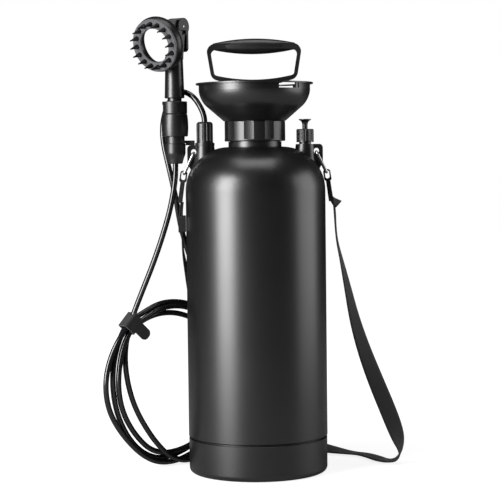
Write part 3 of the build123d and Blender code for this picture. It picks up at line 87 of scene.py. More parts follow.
class NodeGroups:
    """Shared shader node groups, each built once and placed in the materials."""

    GRAIN_DETAIL = 2.0
    GLOSS_SCALE = 14.0
    GLOSS_DETAIL = 3.0
    DUST_SCALE = 22.0
    DUST_DETAIL = 6.0
    DUST_STARTS = 0.5
    DUST_FULL = 0.78
    WEAR_SAMPLES = 4
    WEAR_STARTS = 0.995
    WEAR_FULL = 0.86
    PICK_SLANT = 4.0
    WARP_SHARE = 0.55

    def __init__(self) -> None:
        """Build the groups."""
        self.grain = self._grain_group()
        self.dust = self._dust_group()
        self.wear = self._wear_group()
        self.weave = self._weave_group()

    @staticmethod
    def _new(
        name: str, inputs: Sequence[tuple[str, str, float]], outputs: Sequence[tuple[str, str]]
    ) -> tuple[bpy.types.NodeTree, bpy.types.Node, bpy.types.Node]:
        """Make an empty group with named sockets.

        Args:
            name: the group's name.
            inputs: name, socket type and default of each input.
            outputs: name and socket type of each output.

        Returns:
            The node tree with its input and output nodes.
        """
        tree = bpy.data.node_groups.new(name, "ShaderNodeTree")
        for label, kind, value in inputs:
            socket = tree.interface.new_socket(label, in_out="INPUT", socket_type=kind)
            if kind == "NodeSocketFloat":
                socket.default_value = value
        for label, kind in outputs:
            tree.interface.new_socket(label, in_out="OUTPUT", socket_type=kind)
        return tree, tree.nodes.new("NodeGroupInput"), tree.nodes.new("NodeGroupOutput")

    def _grain_group(self) -> bpy.types.NodeTree:
        """Moulded grain: a fine pebbled height and a slow change of gloss."""
        tree, inlet, outlet = self._new(
            "moulded_grain",
            [
                ("Vector", "NodeSocketVector", 0),
                ("Scale", "NodeSocketFloat", 900.0),
                ("Spread", "NodeSocketFloat", 0.05),
            ],
            [("Height", "NodeSocketFloat"), ("Gloss", "NodeSocketFloat")],
        )
        nodes, links = tree.nodes, tree.links
        fine = nodes.new("ShaderNodeTexNoise")
        fine.inputs["Detail"].default_value = self.GRAIN_DETAIL
        slow = nodes.new("ShaderNodeTexNoise")
        slow.inputs["Scale"].default_value = self.GLOSS_SCALE
        slow.inputs["Detail"].default_value = self.GLOSS_DETAIL
        spread = nodes.new("ShaderNodeMath")
        spread.operation = "MULTIPLY_ADD"
        centred = nodes.new("ShaderNodeMath")
        centred.operation = "SUBTRACT"
        centred.inputs[1].default_value = 0.5
        links.new(inlet.outputs["Vector"], fine.inputs["Vector"])
        links.new(inlet.outputs["Scale"], fine.inputs["Scale"])
        links.new(inlet.outputs["Vector"], slow.inputs["Vector"])
        links.new(slow.outputs["Fac"], centred.inputs[0])
        links.new(centred.outputs[0], spread.inputs[0])
        links.new(inlet.outputs["Spread"], spread.inputs[1])
        spread.inputs[2].default_value = 0.0
        links.new(fine.outputs["Fac"], outlet.inputs["Height"])
        links.new(spread.outputs[0], outlet.inputs["Gloss"])
        return tree

    def _dust_group(self) -> bpy.types.NodeTree:
        """Fine handling dust: a sparse mask from two noises."""
        tree, inlet, outlet = self._new(
            "handling_dust",
            [("Vector", "NodeSocketVector", 0), ("Amount", "NodeSocketFloat", 0.2)],
            [("Mask", "NodeSocketFloat")],
        )
        nodes, links = tree.nodes, tree.links
        cloud = nodes.new("ShaderNodeTexNoise")
        cloud.inputs["Scale"].default_value = self.DUST_SCALE
        cloud.inputs["Detail"].default_value = self.DUST_DETAIL
        ramp = nodes.new("ShaderNodeMapRange")
        ramp.inputs["From Min"].default_value = self.DUST_STARTS
        ramp.inputs["From Max"].default_value = self.DUST_FULL
        share = nodes.new("ShaderNodeMath")
        share.operation = "MULTIPLY"
        links.new(inlet.outputs["Vector"], cloud.inputs["Vector"])
        links.new(cloud.outputs["Fac"], ramp.inputs["Value"])
        links.new(ramp.outputs["Result"], share.inputs[0])
        links.new(inlet.outputs["Amount"], share.inputs[1])
        links.new(share.outputs[0], outlet.inputs["Mask"])
        return tree

    def _wear_group(self) -> bpy.types.NodeTree:
        """Edge wear: where a rounded normal parts from the true one."""
        tree, inlet, outlet = self._new(
            "edge_wear",
            [("Radius", "NodeSocketFloat", 0.0008), ("Amount", "NodeSocketFloat", 0.5)],
            [("Mask", "NodeSocketFloat")],
        )
        nodes, links = tree.nodes, tree.links
        soft = nodes.new("ShaderNodeBevel")
        soft.samples = self.WEAR_SAMPLES
        true = nodes.new("ShaderNodeNewGeometry")
        dot = nodes.new("ShaderNodeVectorMath")
        dot.operation = "DOT_PRODUCT"
        ramp = nodes.new("ShaderNodeMapRange")
        ramp.inputs["From Min"].default_value = self.WEAR_STARTS
        ramp.inputs["From Max"].default_value = self.WEAR_FULL
        share = nodes.new("ShaderNodeMath")
        share.operation = "MULTIPLY"
        links.new(inlet.outputs["Radius"], soft.inputs["Radius"])
        links.new(soft.outputs["Normal"], dot.inputs[0])
        links.new(true.outputs["Normal"], dot.inputs[1])
        links.new(dot.outputs["Value"], ramp.inputs["Value"])
        links.new(ramp.outputs["Result"], share.inputs[0])
        links.new(inlet.outputs["Amount"], share.inputs[1])
        links.new(share.outputs[0], outlet.inputs["Mask"])
        return tree

    def _weave_group(self) -> bpy.types.NodeTree:
        """Woven ribs from UV: picks across the cloth and warp ends along it."""
        tree, inlet, outlet = self._new(
            "woven_ribs",
            [
                ("Vector", "NodeSocketVector", 0),
                ("Across", "NodeSocketFloat", 18.0),
                ("Along", "NodeSocketFloat", 900.0),
            ],
            [("Height", "NodeSocketFloat"), ("Shade", "NodeSocketFloat")],
        )
        nodes, links = tree.nodes, tree.links
        split = nodes.new("ShaderNodeSeparateXYZ")
        links.new(inlet.outputs["Vector"], split.inputs[0])

        def wave(
            source: bpy.types.NodeSocket,
            scale: bpy.types.NodeSocket,
            phase: Optional[bpy.types.NodeSocket] = None,
        ) -> bpy.types.NodeSocket:
            """A sine of a coordinate times a scale plus a phase, raised to lie between 0 and 1."""
            times = nodes.new("ShaderNodeMath")
            times.operation = "MULTIPLY"
            links.new(source, times.inputs[0])
            links.new(scale, times.inputs[1])
            last = times
            if phase is not None:
                add = nodes.new("ShaderNodeMath")
                add.operation = "ADD"
                links.new(times.outputs[0], add.inputs[0])
                links.new(phase, add.inputs[1])
                last = add
            sine = nodes.new("ShaderNodeMath")
            sine.operation = "SINE"
            links.new(last.outputs[0], sine.inputs[0])
            lift = nodes.new("ShaderNodeMath")
            lift.operation = "MULTIPLY_ADD"
            lift.inputs[1].default_value = 0.5
            lift.inputs[2].default_value = 0.5
            links.new(sine.outputs[0], lift.inputs[0])
            return lift.outputs[0]

        ends = wave(split.outputs["X"], inlet.outputs["Across"])
        slant = nodes.new("ShaderNodeMath")
        slant.operation = "MULTIPLY"
        slant.inputs[1].default_value = self.PICK_SLANT
        links.new(ends, slant.inputs[0])
        picks = wave(split.outputs["Y"], inlet.outputs["Along"], slant.outputs[0])
        height = nodes.new("ShaderNodeMath")
        height.operation = "MULTIPLY_ADD"
        height.inputs[1].default_value = self.WARP_SHARE
        links.new(ends, height.inputs[0])
        links.new(picks, height.inputs[2])
        links.new(height.outputs[0], outlet.inputs["Height"])
        # The picks' wave also goes out as Shade, which the cloth uses for its painted shade and painted
        # highlight
        links.new(picks, outlet.inputs["Shade"])
        return tree


# Finishes


class MaterialSheet:
    """A new material with its shader, and the node work that the finishes share."""

    def __init__(self, name: str) -> None:
        """Make the material.

        Args:
            name: the material's name.
        """
        self.material = bpy.data.materials.new(name)
        self.material.use_nodes = True
        self.nodes = self.material.node_tree.nodes
        self.links = self.material.node_tree.links
        self.shader = self.nodes["Principled BSDF"]
        self.coords = self.nodes.new("ShaderNodeTexCoord")

    def group(self, tree: bpy.types.NodeTree, **values: float) -> bpy.types.Node:
        """Place a shared group.

        Args:
            tree: the group.
            values: its inputs by name.

        Returns:
            The group's node.
        """
        node = self.nodes.new("ShaderNodeGroup")
        node.node_tree = tree
        for label, value in values.items():
            node.inputs[label].default_value = value
        return node

    def on_object(self, tree: bpy.types.NodeTree, **values: float) -> bpy.types.Node:
        """Place a shared group that reads the object's own coordinates."""
        node = self.group(tree, **values)
        self.links.new(self.coords.outputs["Object"], node.inputs["Vector"])
        return node

    def blend(
        self, mask: bpy.types.NodeSocket, second: Colour, first: Optional[Colour] = None
    ) -> bpy.types.Node:
        """Blend two colours by a mask; without a first colour, its socket is left to be linked."""
        node = self.nodes.new("ShaderNodeMix")
        node.data_type = "RGBA"
        if first is not None:
            node.inputs["A"].default_value = (*first, 1.0)
        node.inputs["B"].default_value = (*second, 1.0)
        self.links.new(mask, node.inputs["Factor"])
        return node

    def roughness(self, base: float, gloss: bpy.types.NodeSocket) -> None:
        """Drive the roughness from a base value and a slow change of gloss."""
        node = self.nodes.new("ShaderNodeMath")
        node.operation = "ADD"
        node.inputs[1].default_value = base
        self.links.new(gloss, node.inputs[0])
        self.links.new(node.outputs[0], self.shader.inputs["Roughness"])

    def relief(self, height: bpy.types.NodeSocket, strength: float, distance: float) -> None:
        """Drive the normal from a height.

        Args:
            height: the height's socket.
            strength: how strongly it shows, from 0 to 1.
            distance: the height's full depth, in metres.
        """
        node = self.nodes.new("ShaderNodeBump")
        node.inputs["Strength"].default_value = strength
        node.inputs["Distance"].default_value = distance
        self.links.new(height, node.inputs["Height"])
        self.links.new(node.outputs["Normal"], self.shader.inputs["Normal"])


def shifted(colour: Colour, share: float, lift: float = 0.0) -> Colour:
    """A colour times a share plus a lift."""
    return tuple(share * value + lift for value in colour)


@dataclass(frozen=True)
class MouldedPlastic:
    """Moulded plastic with fine grain, edge wear and a little dust."""

    name: str
    colour: Colour
    roughness: float
    grain_scale: float = 900.0
    grain_depth: float = 0.06
    grain_height: float = 0.0004
    gloss_spread: float = 0.12
    wear: float = 0.35
    wear_lift: float = 0.045
    dust: float = 0.10
    dust_lift: float = 0.05
    specular: float = 0.5

    def build(self, groups: NodeGroups) -> bpy.types.Material:
        """Make the material.

        Args:
            groups: the shared node groups.

        Returns:
            The new material.
        """
        sheet = MaterialSheet(self.name)
        grain = sheet.on_object(groups.grain, Scale=self.grain_scale, Spread=self.gloss_spread)
        dust = sheet.on_object(groups.dust, Amount=self.dust)
        wear = sheet.group(groups.wear, Amount=self.wear)
        worn = sheet.blend(wear.outputs["Mask"], shifted(self.colour, 0.5, self.wear_lift), self.colour)
        dusty = sheet.blend(dust.outputs["Mask"], shifted(self.colour, 0.6, self.dust_lift))
        sheet.links.new(worn.outputs["Result"], dusty.inputs["A"])
        sheet.links.new(dusty.outputs["Result"], sheet.shader.inputs["Base Color"])
        sheet.roughness(self.roughness, grain.outputs["Gloss"])
        sheet.relief(grain.outputs["Height"], self.grain_depth, self.grain_height)
        sheet.shader.inputs["Specular IOR Level"].default_value = self.specular
        return sheet.material


@dataclass(frozen=True)
class Metal:
    """Drawn or plated metal with a faint grain."""

    name: str
    colour: Colour
    roughness: float
    grain_scale: float = 700.0
    grain_depth: float = 0.03
    grain_height: float = 0.0002
    gloss_spread: float = 0.15

    def build(self, groups: NodeGroups) -> bpy.types.Material:
        """Make the material.

        Args:
            groups: the shared node groups.

        Returns:
            The new material.
        """
        sheet = MaterialSheet(self.name)
        sheet.shader.inputs["Base Color"].default_value = (*self.colour, 1.0)
        sheet.shader.inputs["Metallic"].default_value = 1.0
        grain = sheet.on_object(groups.grain, Scale=self.grain_scale, Spread=self.gloss_spread)
        sheet.roughness(self.roughness, grain.outputs["Gloss"])
        sheet.relief(grain.outputs["Height"], self.grain_depth, self.grain_height)
        return sheet.material


@dataclass(frozen=True)
class Cloth:
    """Woven webbing or a hook-and-loop band, with painted shade in its valleys and painted highlight on
    its crowns.
    """

    name: str
    colour: Colour
    weave: Weave
    roughness: float = 0.8
    depth: float = 0.5
    thread_height: float = 0.0003
    ends_across: float = 75.0
    picks_along: float = 3600.0
    nap_scale: float = 1100.0
    # Colour shares for the painted shade in the valleys and the painted highlight on the crowns
    valley_painted_shade: float = 0.55
    crown_painted_highlight: float = 1.35
    sheen: float = 0.25
    sheen_roughness: float = 0.5

    def build(self, groups: NodeGroups) -> bpy.types.Material:
        """Make the material.

        Args:
            groups: the shared node groups.

        Returns:
            The new material.
        """
        sheet = MaterialSheet(self.name)
        if self.weave is Weave.WEBBING:
            cloth = sheet.group(groups.weave, Across=self.ends_across, Along=self.picks_along)
            sheet.links.new(sheet.coords.outputs["UV"], cloth.inputs["Vector"])
            shade = cloth.outputs["Shade"]
        else:
            cloth = sheet.on_object(groups.grain, Scale=self.nap_scale)
            shade = cloth.outputs["Height"]
        # Painted shade and painted highlight: the cloth's colour is darker where its ribs or nap sink and
        # lighter where they rise
        blend = sheet.blend(shade, shifted(self.colour, self.crown_painted_highlight), shifted(self.colour, self.valley_painted_shade))
        sheet.links.new(blend.outputs["Result"], sheet.shader.inputs["Base Color"])
        sheet.relief(cloth.outputs["Height"], self.depth, self.thread_height)
        sheet.shader.inputs["Roughness"].default_value = self.roughness
        sheet.shader.inputs["Sheen Weight"].default_value = self.sheen
        sheet.shader.inputs["Sheen Roughness"].default_value = self.sheen_roughness
        return sheet.material


Finish = Union[MouldedPlastic, Metal, Cloth]

FINISHES: tuple[Finish, ...] = (
    MouldedPlastic(
        "tank_plastic", (0.0045, 0.0046, 0.005), 0.33,
        grain_depth=0.03, gloss_spread=0.06, wear=0.2, dust=0.03, specular=0.9,
    ),
    MouldedPlastic(
        "trim_plastic", (0.0055, 0.0055, 0.006), 0.36, grain_depth=0.05, wear=0.25, dust=0.04, specular=0.8
    ),
    MouldedPlastic("head_plastic", (0.010, 0.010, 0.011), 0.34, grain_depth=0.04, specular=0.6),
    MouldedPlastic("face_plastic", (0.10, 0.102, 0.106), 0.3, grain_depth=0.02, wear=0.1, dust=0.05),
    MouldedPlastic("lever_plastic", (0.007, 0.007, 0.008), 0.38),
    MouldedPlastic("nozzle_rubber", (0.008, 0.008, 0.009), 0.5, wear=0.1, specular=0.35),
    MouldedPlastic("seal_rubber", (0.012, 0.012, 0.012), 0.6, wear=0.0),
    Metal("rod_steel", (0.6, 0.61, 0.63), 0.3),
    Metal("spring_steel", (0.5, 0.5, 0.52), 0.32),
    Metal("link_wire", (0.62, 0.62, 0.64), 0.26),
    MouldedPlastic("dip_plastic", (0.1, 0.1, 0.1), 0.45),
    MouldedPlastic(
        "hose", (0.007, 0.007, 0.008), 0.16,
        grain_depth=0.0, gloss_spread=0.04, wear=0.0, dust=0.03, specular=0.8,
    ),
    Cloth("tie_fabric", (0.008, 0.008, 0.0085), Weave.HOOK_BAND),
    MouldedPlastic("hook_plastic", (0.011, 0.011, 0.012), 0.38),
    Cloth("webbing", (0.010, 0.010, 0.011), Weave.WEBBING),
)


def deselect_all() -> None:
    """Leave nothing selected."""
    bpy.ops.object.select_all(action="DESELECT")


def dress(piece: bpy.types.Object, material: bpy.types.Material) -> None:
    """Give a piece one material in all its slots."""
    piece.data.materials.clear()
    piece.data.materials.append(material)


class FixedSolids:
    """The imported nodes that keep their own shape."""

    def __init__(self, frame: dict, materials: dict[str, bpy.types.Material]) -> None:
        """Keep the frame and the finishes.

        Args:
            materials: the finish of each slot.
        """
        self.frame = frame
        self.materials = materials

    def build(self) -> None:
        """Dress each node in its slot's finish."""
        slots = {part["node"]: part["material_slot"] for part in self.frame["record"]["subparts"]}
        for name, node in self.frame["nodes"].items():
            dress(node, self.materials[slots[name]])
        LOG.info("dressed %d solids", len(slots))


# The coil's four passes, in mm: the bearing in the coil's plane, then each pass's reach and depth
COIL_PASSES = (
    (41.7, (107.1, 6.1), (96.5, -1.0), (106.5, -1.5), (114.3, -2.5)),
    (5.0, (110.5, 7.0), (96.5, 0.2), (103.2, -3.2), (112.8, -1.4)),
    (-35.0, (113.5, 7.0), (95.8, 1.3), (101.0, -4.5), (111.0, -1.2)),
    (-70.0, (115.2, 6.0), (95.7, 1.8), (99.9, -5.0), (108.8, -1.0)),
    (-84.0, (110.3, 8.0), (96.7, 0.4), (102.5, -5.0), (110.4, 0.0)),
    (-97.0, (96.9, 8.0), (97.4, 0.0), (105.8, -5.0), (111.0, 0.2)),
    (-110.0, (81.5, 5.5), (95.2, 2.0), (103.6, -4.4), (107.8, 1.6)),
    (-125.0, (70.3, 3.5), (88.5, 2.0), (97.6, -3.8), (102.1, 2.4)),
    (-142.0, (63.7, 1.5), (83.8, 2.0), (91.8, -2.5), (99.4, 2.0)),
    (-160.0, (61.4, 0.0), (81.6, 2.0), (88.3, -2.1), (100.3, 1.2)),
    (-178.0, (63.6, 0.0), (81.2, 2.2), (87.4, -2.2), (101.0, 1.2)),
    (-195.0, (70.0, 0.0), (83.0, 2.0), (90.2, -2.0), (101.6, 2.0)),
    (-210.0, (79.3, -0.8), (87.7, 2.0), (94.5, -3.0), (102.0, 2.5)),
    (-223.0, (89.0, -3.2), (95.9, 3.6), (100.2, -4.0), (104.2, 3.8)),
    (-235.5, (99.6, -3.9), (99.7, 3.9), (106.8, -3.9), (107.2, 3.9)),
    (-247.0, (95.6, -3.3), (99.4, 3.6), (104.6, -3.9)),
    (-263.0, (97.4, -1.8), (104.6, 3.0), (110.2, -3.3)),
    (-287.0, (95.8, -1.0), (107.4, 2.0), (112.8, -3.0)),
)


def eased(rows: Sequence[tuple[float, float]], at: float) -> float:
    """A smooth value through the middle two of four rows.

    Args:
        rows: the bearing and the value of each row.
        at: a bearing between those of the second and the third row.

    Returns:
        The value there, on a cubic whose slopes come from the neighbours.
    """
    (first, before), (start, leaving), (stop, reaching), (last, after) = rows
    span = stop - start
    share = (at - start) / span
    leave = (reaching - before) / (stop - first) * span
    arrive = (after - leaving) / (last - start) * span
    rise = reaching - leaving
    curve = (leave + arrive - 2 * rise) * share + (3 * rise - 2 * leave - arrive)
    return leaving + (curve * share + leave) * share


@dataclass
class Hose:
    """The whole hose: from the outlet nut through its coil up to the handset."""

    radius: float = 0.00375
    round_steps: int = 5
    steps_per_point: int = 6
    coil_out: float = 0.1055
    coil_turn: float = math.radians(35.0)
    coil_along: float = -0.075
    coil_high: float = 0.1148
    points_per_turn: int = 24
    outlet: Sequence[Point] = (
        (-0.06705, 0.0, 0.470), (-0.06705, 0.0, 0.477), (-0.0719, 0.0015, 0.4895), (-0.0812, 0.006, 0.504),
        (-0.0952, 0.0125, 0.512), (-0.1086, 0.0174, 0.5075), (-0.1176, 0.019, 0.4925),
        (-0.123, 0.019, 0.475), (-0.1244, 0.0185, 0.457), (-0.1228, 0.018, 0.439),
        (-0.1188, 0.017, 0.421), (-0.1146, 0.0165, 0.402), (-0.1106, 0.017, 0.383),
        (-0.1068, 0.019, 0.364), (-0.1044, 0.0235, 0.345), (-0.1012, 0.031, 0.326),
        (-0.0965, 0.0405, 0.306), (-0.0905, 0.0495, 0.285), (-0.083, 0.058, 0.263),
        (-0.0745, 0.067, 0.241), (-0.0645, 0.076, 0.216),
    )
    handset: Sequence[Point] = (
        (-0.1662, 0.0082, 0.2135), (-0.1576, 0.0074, 0.235), (-0.1491, 0.005, 0.2555),
        (-0.1402, 0.0022, 0.277),
        (-0.1309, -0.0006, 0.3015), (-0.1223, -0.0026, 0.327), (-0.116, -0.0038, 0.348),
        (-0.1116, -0.0042, 0.367), (-0.1084, -0.0038, 0.385), (-0.1065, -0.003, 0.402),
        (-0.1065, -0.003, 0.4145),
    )

    def coil_point(self, bearing: float, reach: float, depth: float) -> Point:
        """A point of the coil.

        Args:
            bearing: angle from the coil's right, counter-clockwise from the front, in degrees.
            reach: distance from the coil's centre, in metres.
            depth: distance towards the front from the coil's middle plane, in metres.

        Returns:
            The point in the shower's frame, in metres.
        """
        angle = math.radians(bearing)
        normal = Vector((-math.sin(self.coil_turn), math.cos(self.coil_turn), 0.0))
        along = Vector((math.cos(self.coil_turn), math.sin(self.coil_turn), 0.0))
        centre = normal * self.coil_out + along * self.coil_along + Vector((0, 0, self.coil_high))
        place = centre + along * (reach * math.cos(angle)) + Vector((0, 0, reach * math.sin(angle)))
        place -= normal * depth
        return tuple(place)

    @staticmethod
    def lanes() -> list[tuple[float, float, float]]:
        """The passes joined end to end: a bearing that keeps falling, the reach and the depth."""
        rows = []
        for lap in range(len(COIL_PASSES[0]) - 1):
            for bearing, *places in COIL_PASSES:
                if lap < len(places):
                    rows.append((bearing - 360.0 * lap, *places[lap]))
        return rows

    def coil_points(self) -> list[Point]:
        """The coil's turns, clockwise from the front, read smoothly from the lanes."""
        rows = self.lanes()
        first, last = rows[0][0], rows[-1][0]
        count = round((first - last) / 360.0 * self.points_per_turn)
        points, index = [], 0
        for step in range(count + 1):
            bearing = first + (last - first) * step / count
            while index < len(rows) - 2 and bearing < rows[index + 1][0]:
                index += 1
            near = [rows[max(0, min(len(rows) - 1, index + shift))] for shift in (-1, 0, 1, 2)]
            reach, depth = (eased([(row[0], row[column]) for row in near], bearing) for column in (1, 2))
            points.append(self.coil_point(bearing, reach / 1000, depth / 1000))
        return points

    def points(self) -> list[Point]:
        """All the points that the hose follows, from the outlet nut to the handset."""
        return list(self.outlet) + self.coil_points() + list(self.handset)

    def length(self) -> float:
        """The length along its points."""
        points = [Vector(point) for point in self.points()]
        return sum((after - before).length for before, after in zip(points, points[1:]))

    def build(self, material: bpy.types.Material) -> bpy.types.Object:
        """Make the hose as one smooth cord.

        Args:
            material: the hose's finish.

        Returns:
            The hose's object.
        """
        points = self.points()
        curve = bpy.data.curves.new("hose", "CURVE")
        curve.dimensions = "3D"
        spline = curve.splines.new("NURBS")
        spline.points.add(len(points) - 1)
        for place, point in zip(spline.points, points):
            place.co = (*point, 1.0)
        spline.order_u = 3
        spline.use_endpoint_u = True
        spline.resolution_u = self.steps_per_point
        curve.bevel_depth = self.radius
        curve.bevel_resolution = self.round_steps
        curve.use_fill_caps = True
        hose = bpy.data.objects.new("hose", curve)
        bpy.context.scene.collection.objects.link(hose)
        dress(hose, material)
        LOG.info("hose of %d points, %.3f m long", len(points), self.length())
        return hose


# Routes of webbing, in mm: a place on the middle line, then the direction of the width there
STRAP_ROUTE = (
    (104.6, 0, 363.0, 0.08, 1, 0), (106.0, 0, 348.0, 0.14, 1, 0), (106.6, 0, 331.0, 0.1, 1, 0),
    (108.4, 1, 309.0, 0.1, 1, 0), (114.6, 2, 282.0, 0.25, 1, 0), (122.6, 4, 245.0, 0.45, 1, 0.15),
    (131.6, 7, 202.0, 0.7, 0.9, 0.25), (144.6, 11, 159.0, 1, 0.75, 0.4), (160.4, 16, 117.0, 1, 0.35, 0.4),
    (177.6, 21, 75.0, 1, 0.15, 0.35), (190.0, 26, 42.0, 1, 0.6, 0.2), (196.0, 29, 21.0, 0.35, 1, 0.15),
    (192.5, 33, 9.5, 0.2, 1, 0.35), (182.0, 40, 3.6, 0.6, 0.8, 0.1), (171.0, 52, 2.4, 0.75, 0.6, 0),
    (161.5, 76, 2.4, 1, 0.3, 0), (149.0, 100, 2.4, 0.8, 0.6, 0), (130.0, 112, 2.4, 0.5, 0.9, 0),
    (110.0, 120, 5.0, 0.15, 1, 0.25), (86.0, 124, 9.5, 0, 0.9, 0.5), (62.0, 120, 16.0, 0, 0.6, 0.8),
    (38.0, 111, 28.0, 0.25, 0.2, 1), (12.0, 102.5, 50.0, 0.5, 0.1, 1), (-18.0, 95.9, 90.0, 0.8, 0.15, 0.7),
    (-48.0, 84.6, 135.0, 0.8, 0.5, 0.75), (-72.0, 64.8, 182.0, 0.6, 0.7, 0.6),
    (-88.5, 39.0, 232.0, 0.3, 0.8, 0.45), (-96.6, 14.0, 280.0, 0.1, 1, 0.2),
    (-98.8, 0, 301.0, 0, 1, 0), (-98.8, 0, 345.0, 0, 1, 0), (-98.8, 0, 351.6, 0, 1, 0),
    (-97.4, 0, 363.0, 0, 1, 0),
)
TAIL_ROUTE = (
    (97.5, 0, 376.0, 0.1, 1, 0), (100.5, 0.5, 369.0, 0.15, 1, 0.05), (103.5, 1, 363.5, 0.3, 1, 0.15),
    (107.0, 1, 360.5, 0.5, 1, 0.3), (111.5, 0, 358.0, 0.6, 1, 0.4),
)
FOLD_ROUTE = (
    (-98.4, 0, 366.0, 0, 1, 0), (-100.2, 0, 361.0, 0, 1, 0), (-101.0, 0, 352.0, 0, 1, 0),
    (-101.1, 0, 338.0, 0, 1, 0), (-101.0, 0, 321.0, 0, 1, 0),
)


@dataclass(frozen=True)
class Ribbon:
    """A length of webbing with rounded selvedges that follows a route."""

    name: str
    route: Sequence[tuple[float, ...]]
    width: float = 0.023
    thickness: float = 0.0018
    across_steps: int = 8
    steps_per_point: int = 10
    selvedge: float = 0.45

    def centre_line(self) -> list[Vector]:
        """Points read from the route's smooth spline."""
        curve = bpy.data.curves.new(self.name + "_line", "CURVE")
        curve.dimensions = "3D"
        spline = curve.splines.new("NURBS")
        spline.points.add(len(self.route) - 1)
        for place, row in zip(spline.points, self.route):
            place.co = (row[0] / 1000, row[1] / 1000, row[2] / 1000, 1.0)
        spline.order_u = 3
        spline.use_endpoint_u = True
        spline.resolution_u = self.steps_per_point
        line = bpy.data.objects.new(self.name + "_line", curve)
        bpy.context.scene.collection.objects.link(line)
        bpy.context.view_layer.update()
        mesh = bpy.data.meshes.new_from_object(line)
        points = [vertex.co.copy() for vertex in mesh.vertices]
        bpy.data.objects.remove(line)
        return points

    def width_at(self, share: float) -> Vector:
        """The direction of the webbing's width.

        Args:
            share: how far along the route, from 0 to 1.

        Returns:
            A unit vector.
        """
        spans = len(self.route) - 2
        position = min(share * spans, spans - 1e-6)
        index = int(position)
        part = position - index
        weights = ((1 - part) ** 2 / 2, (1 + 2 * part - 2 * part**2) / 2, part**2 / 2)
        total = Vector((0.0, 0.0, 0.0))
        for offset, weight in enumerate(weights):
            total += Vector(self.route[index + offset][3:]).normalized() * weight
        return total.normalized()

    def build(self, material: bpy.types.Material) -> tuple[bpy.types.Object, list[Point]]:
        """Make the ribbon with rounded selvedges and its own UV map.

        Args:
            material: the webbing's finish.

        Returns:
            The ribbon's object and the points that it follows.
        """
        line = self.centre_line()
        verts, rows = [], []
        half_t = self.thickness / 2
        for index, centre in enumerate(line):
            ahead = (line[min(index + 1, len(line) - 1)] - line[max(index - 1, 0)]).normalized()
            across = self.width_at(index / (len(line) - 1))
            across = (across - ahead * across.dot(ahead)).normalized()
            normal = ahead.cross(across)
            row = []
            for side in (1, -1):
                for step in range(self.across_steps + 1):
                    share = (step / self.across_steps - 0.5) * side
                    edge = 1.0 if 0 < step < self.across_steps else self.selvedge
                    row.append(len(verts))
                    away = across * (share * self.width) + normal * (side * half_t * edge)
                    verts.append(centre + away)
            rows.append(row)
        faces, count = [], len(rows[0])
        for lower, upper in zip(rows, rows[1:]):
            for step in range(count):
                after = (step + 1) % count
                faces.append((lower[step], lower[after], upper[after], upper[step]))
        faces.append(tuple(reversed(rows[0])))
        faces.append(tuple(rows[-1]))
        mesh = bpy.data.meshes.new(self.name)
        mesh.from_pydata([tuple(v) for v in verts], [], faces)
        distance = [0.0]
        for before, after in zip(line, line[1:]):
            distance.append(distance[-1] + (after - before).length)
        uv = mesh.uv_layers.new(name="weave")
        for face in mesh.polygons:
            for loop in face.loop_indices:
                vertex = mesh.loops[loop].vertex_index
                row, step = divmod(vertex, count)
                level = step % (self.across_steps + 1) / self.across_steps
                uv.data[loop].uv = (level, distance[row])
        mesh.update()
        ribbon = bpy.data.objects.new(self.name, mesh)
        bpy.context.scene.collection.objects.link(ribbon)
        for face in mesh.polygons:
            face.use_smooth = True
        dress(ribbon, material)
        LOG.info("%s of %.3f m", self.name, distance[-1])
        return ribbon, [tuple(point) for point in line]


class CarryStrap:
    """The webbing from the right hook round behind the tank to the left hook, and its sewn ends."""

    length: float = 0.97

    def build(self, frame: dict, material: bpy.types.Material) -> None:
        """Make the strap and its two sewn ends, and hide the solid that the strap stands for.

        Args:
            material: the webbing's finish.
        """
        main = Ribbon("strap", STRAP_ROUTE)
        strap, path = main.build(material)
        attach(strap, "tank")
        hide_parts("strap_webbing")
        for name, route in (("strap_tail", TAIL_ROUTE), ("strap_fold", FOLD_ROUTE)):
            end, _ = Ribbon(name, route).build(material)
            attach(end, "tank")


@dataclass(frozen=True)
class Spring:
    """A round-wire spring made in place of its solid."""

    node: str
    joint: str
    centre: tuple[float, float]
    low: float
    high: float
    fixed: float
    travel: float
    turn_radius: float
    wire_radius: float
    turns: int = 4
    points_per_turn: int = 16
    round_steps: int = 3

    def build(self, material: bpy.types.Material) -> bpy.types.Object:
        """Make the spring in place of its solid.

        Args:
            material: the spring's finish.

        Returns:
            The spring's object.
        """
        curve = bpy.data.curves.new(self.node + "_coil", "CURVE")
        curve.dimensions = "3D"
        spline = curve.splines.new("POLY")
        count = self.turns * self.points_per_turn
        spline.points.add(count)
        rise = self.high - self.low - 2 * self.wire_radius
        for step, place in enumerate(spline.points):
            angle = 2 * math.pi * step / self.points_per_turn
            x = self.centre[0] + self.turn_radius * math.cos(angle)
            y = self.centre[1] + self.turn_radius * math.sin(angle)
            place.co = (x, y, self.low + self.wire_radius + rise * step / count, 1.0)
        curve.bevel_depth = self.wire_radius
        curve.bevel_resolution = self.round_steps
        curve.use_fill_caps = True
        spring = bpy.data.objects.new(self.node + "_coil", curve)
        bpy.context.scene.collection.objects.link(spring)
        deselect_all()
        spring.select_set(True)
        bpy.context.view_layer.objects.active = spring
        bpy.ops.object.convert(target="MESH")
        dress(spring, material)
        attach(spring, "tank")
        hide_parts(self.node)
        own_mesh(spring)
        return spring


SPRINGS = (
    Spring(
        node="relief_spring", joint="relief_pull", centre=(0.06705, 0.0), low=0.447, high=0.455,
        fixed=0.455, travel=0.005, turn_radius=0.0043, wire_radius=0.00055,
    ),
    Spring(
        node="coupling_spring", joint="sleeve_pull", centre=(-0.1065, -0.003), low=0.4603, high=0.476,
        fixed=0.4603, travel=0.004, turn_radius=0.01157, wire_radius=0.0007,
    ),
)


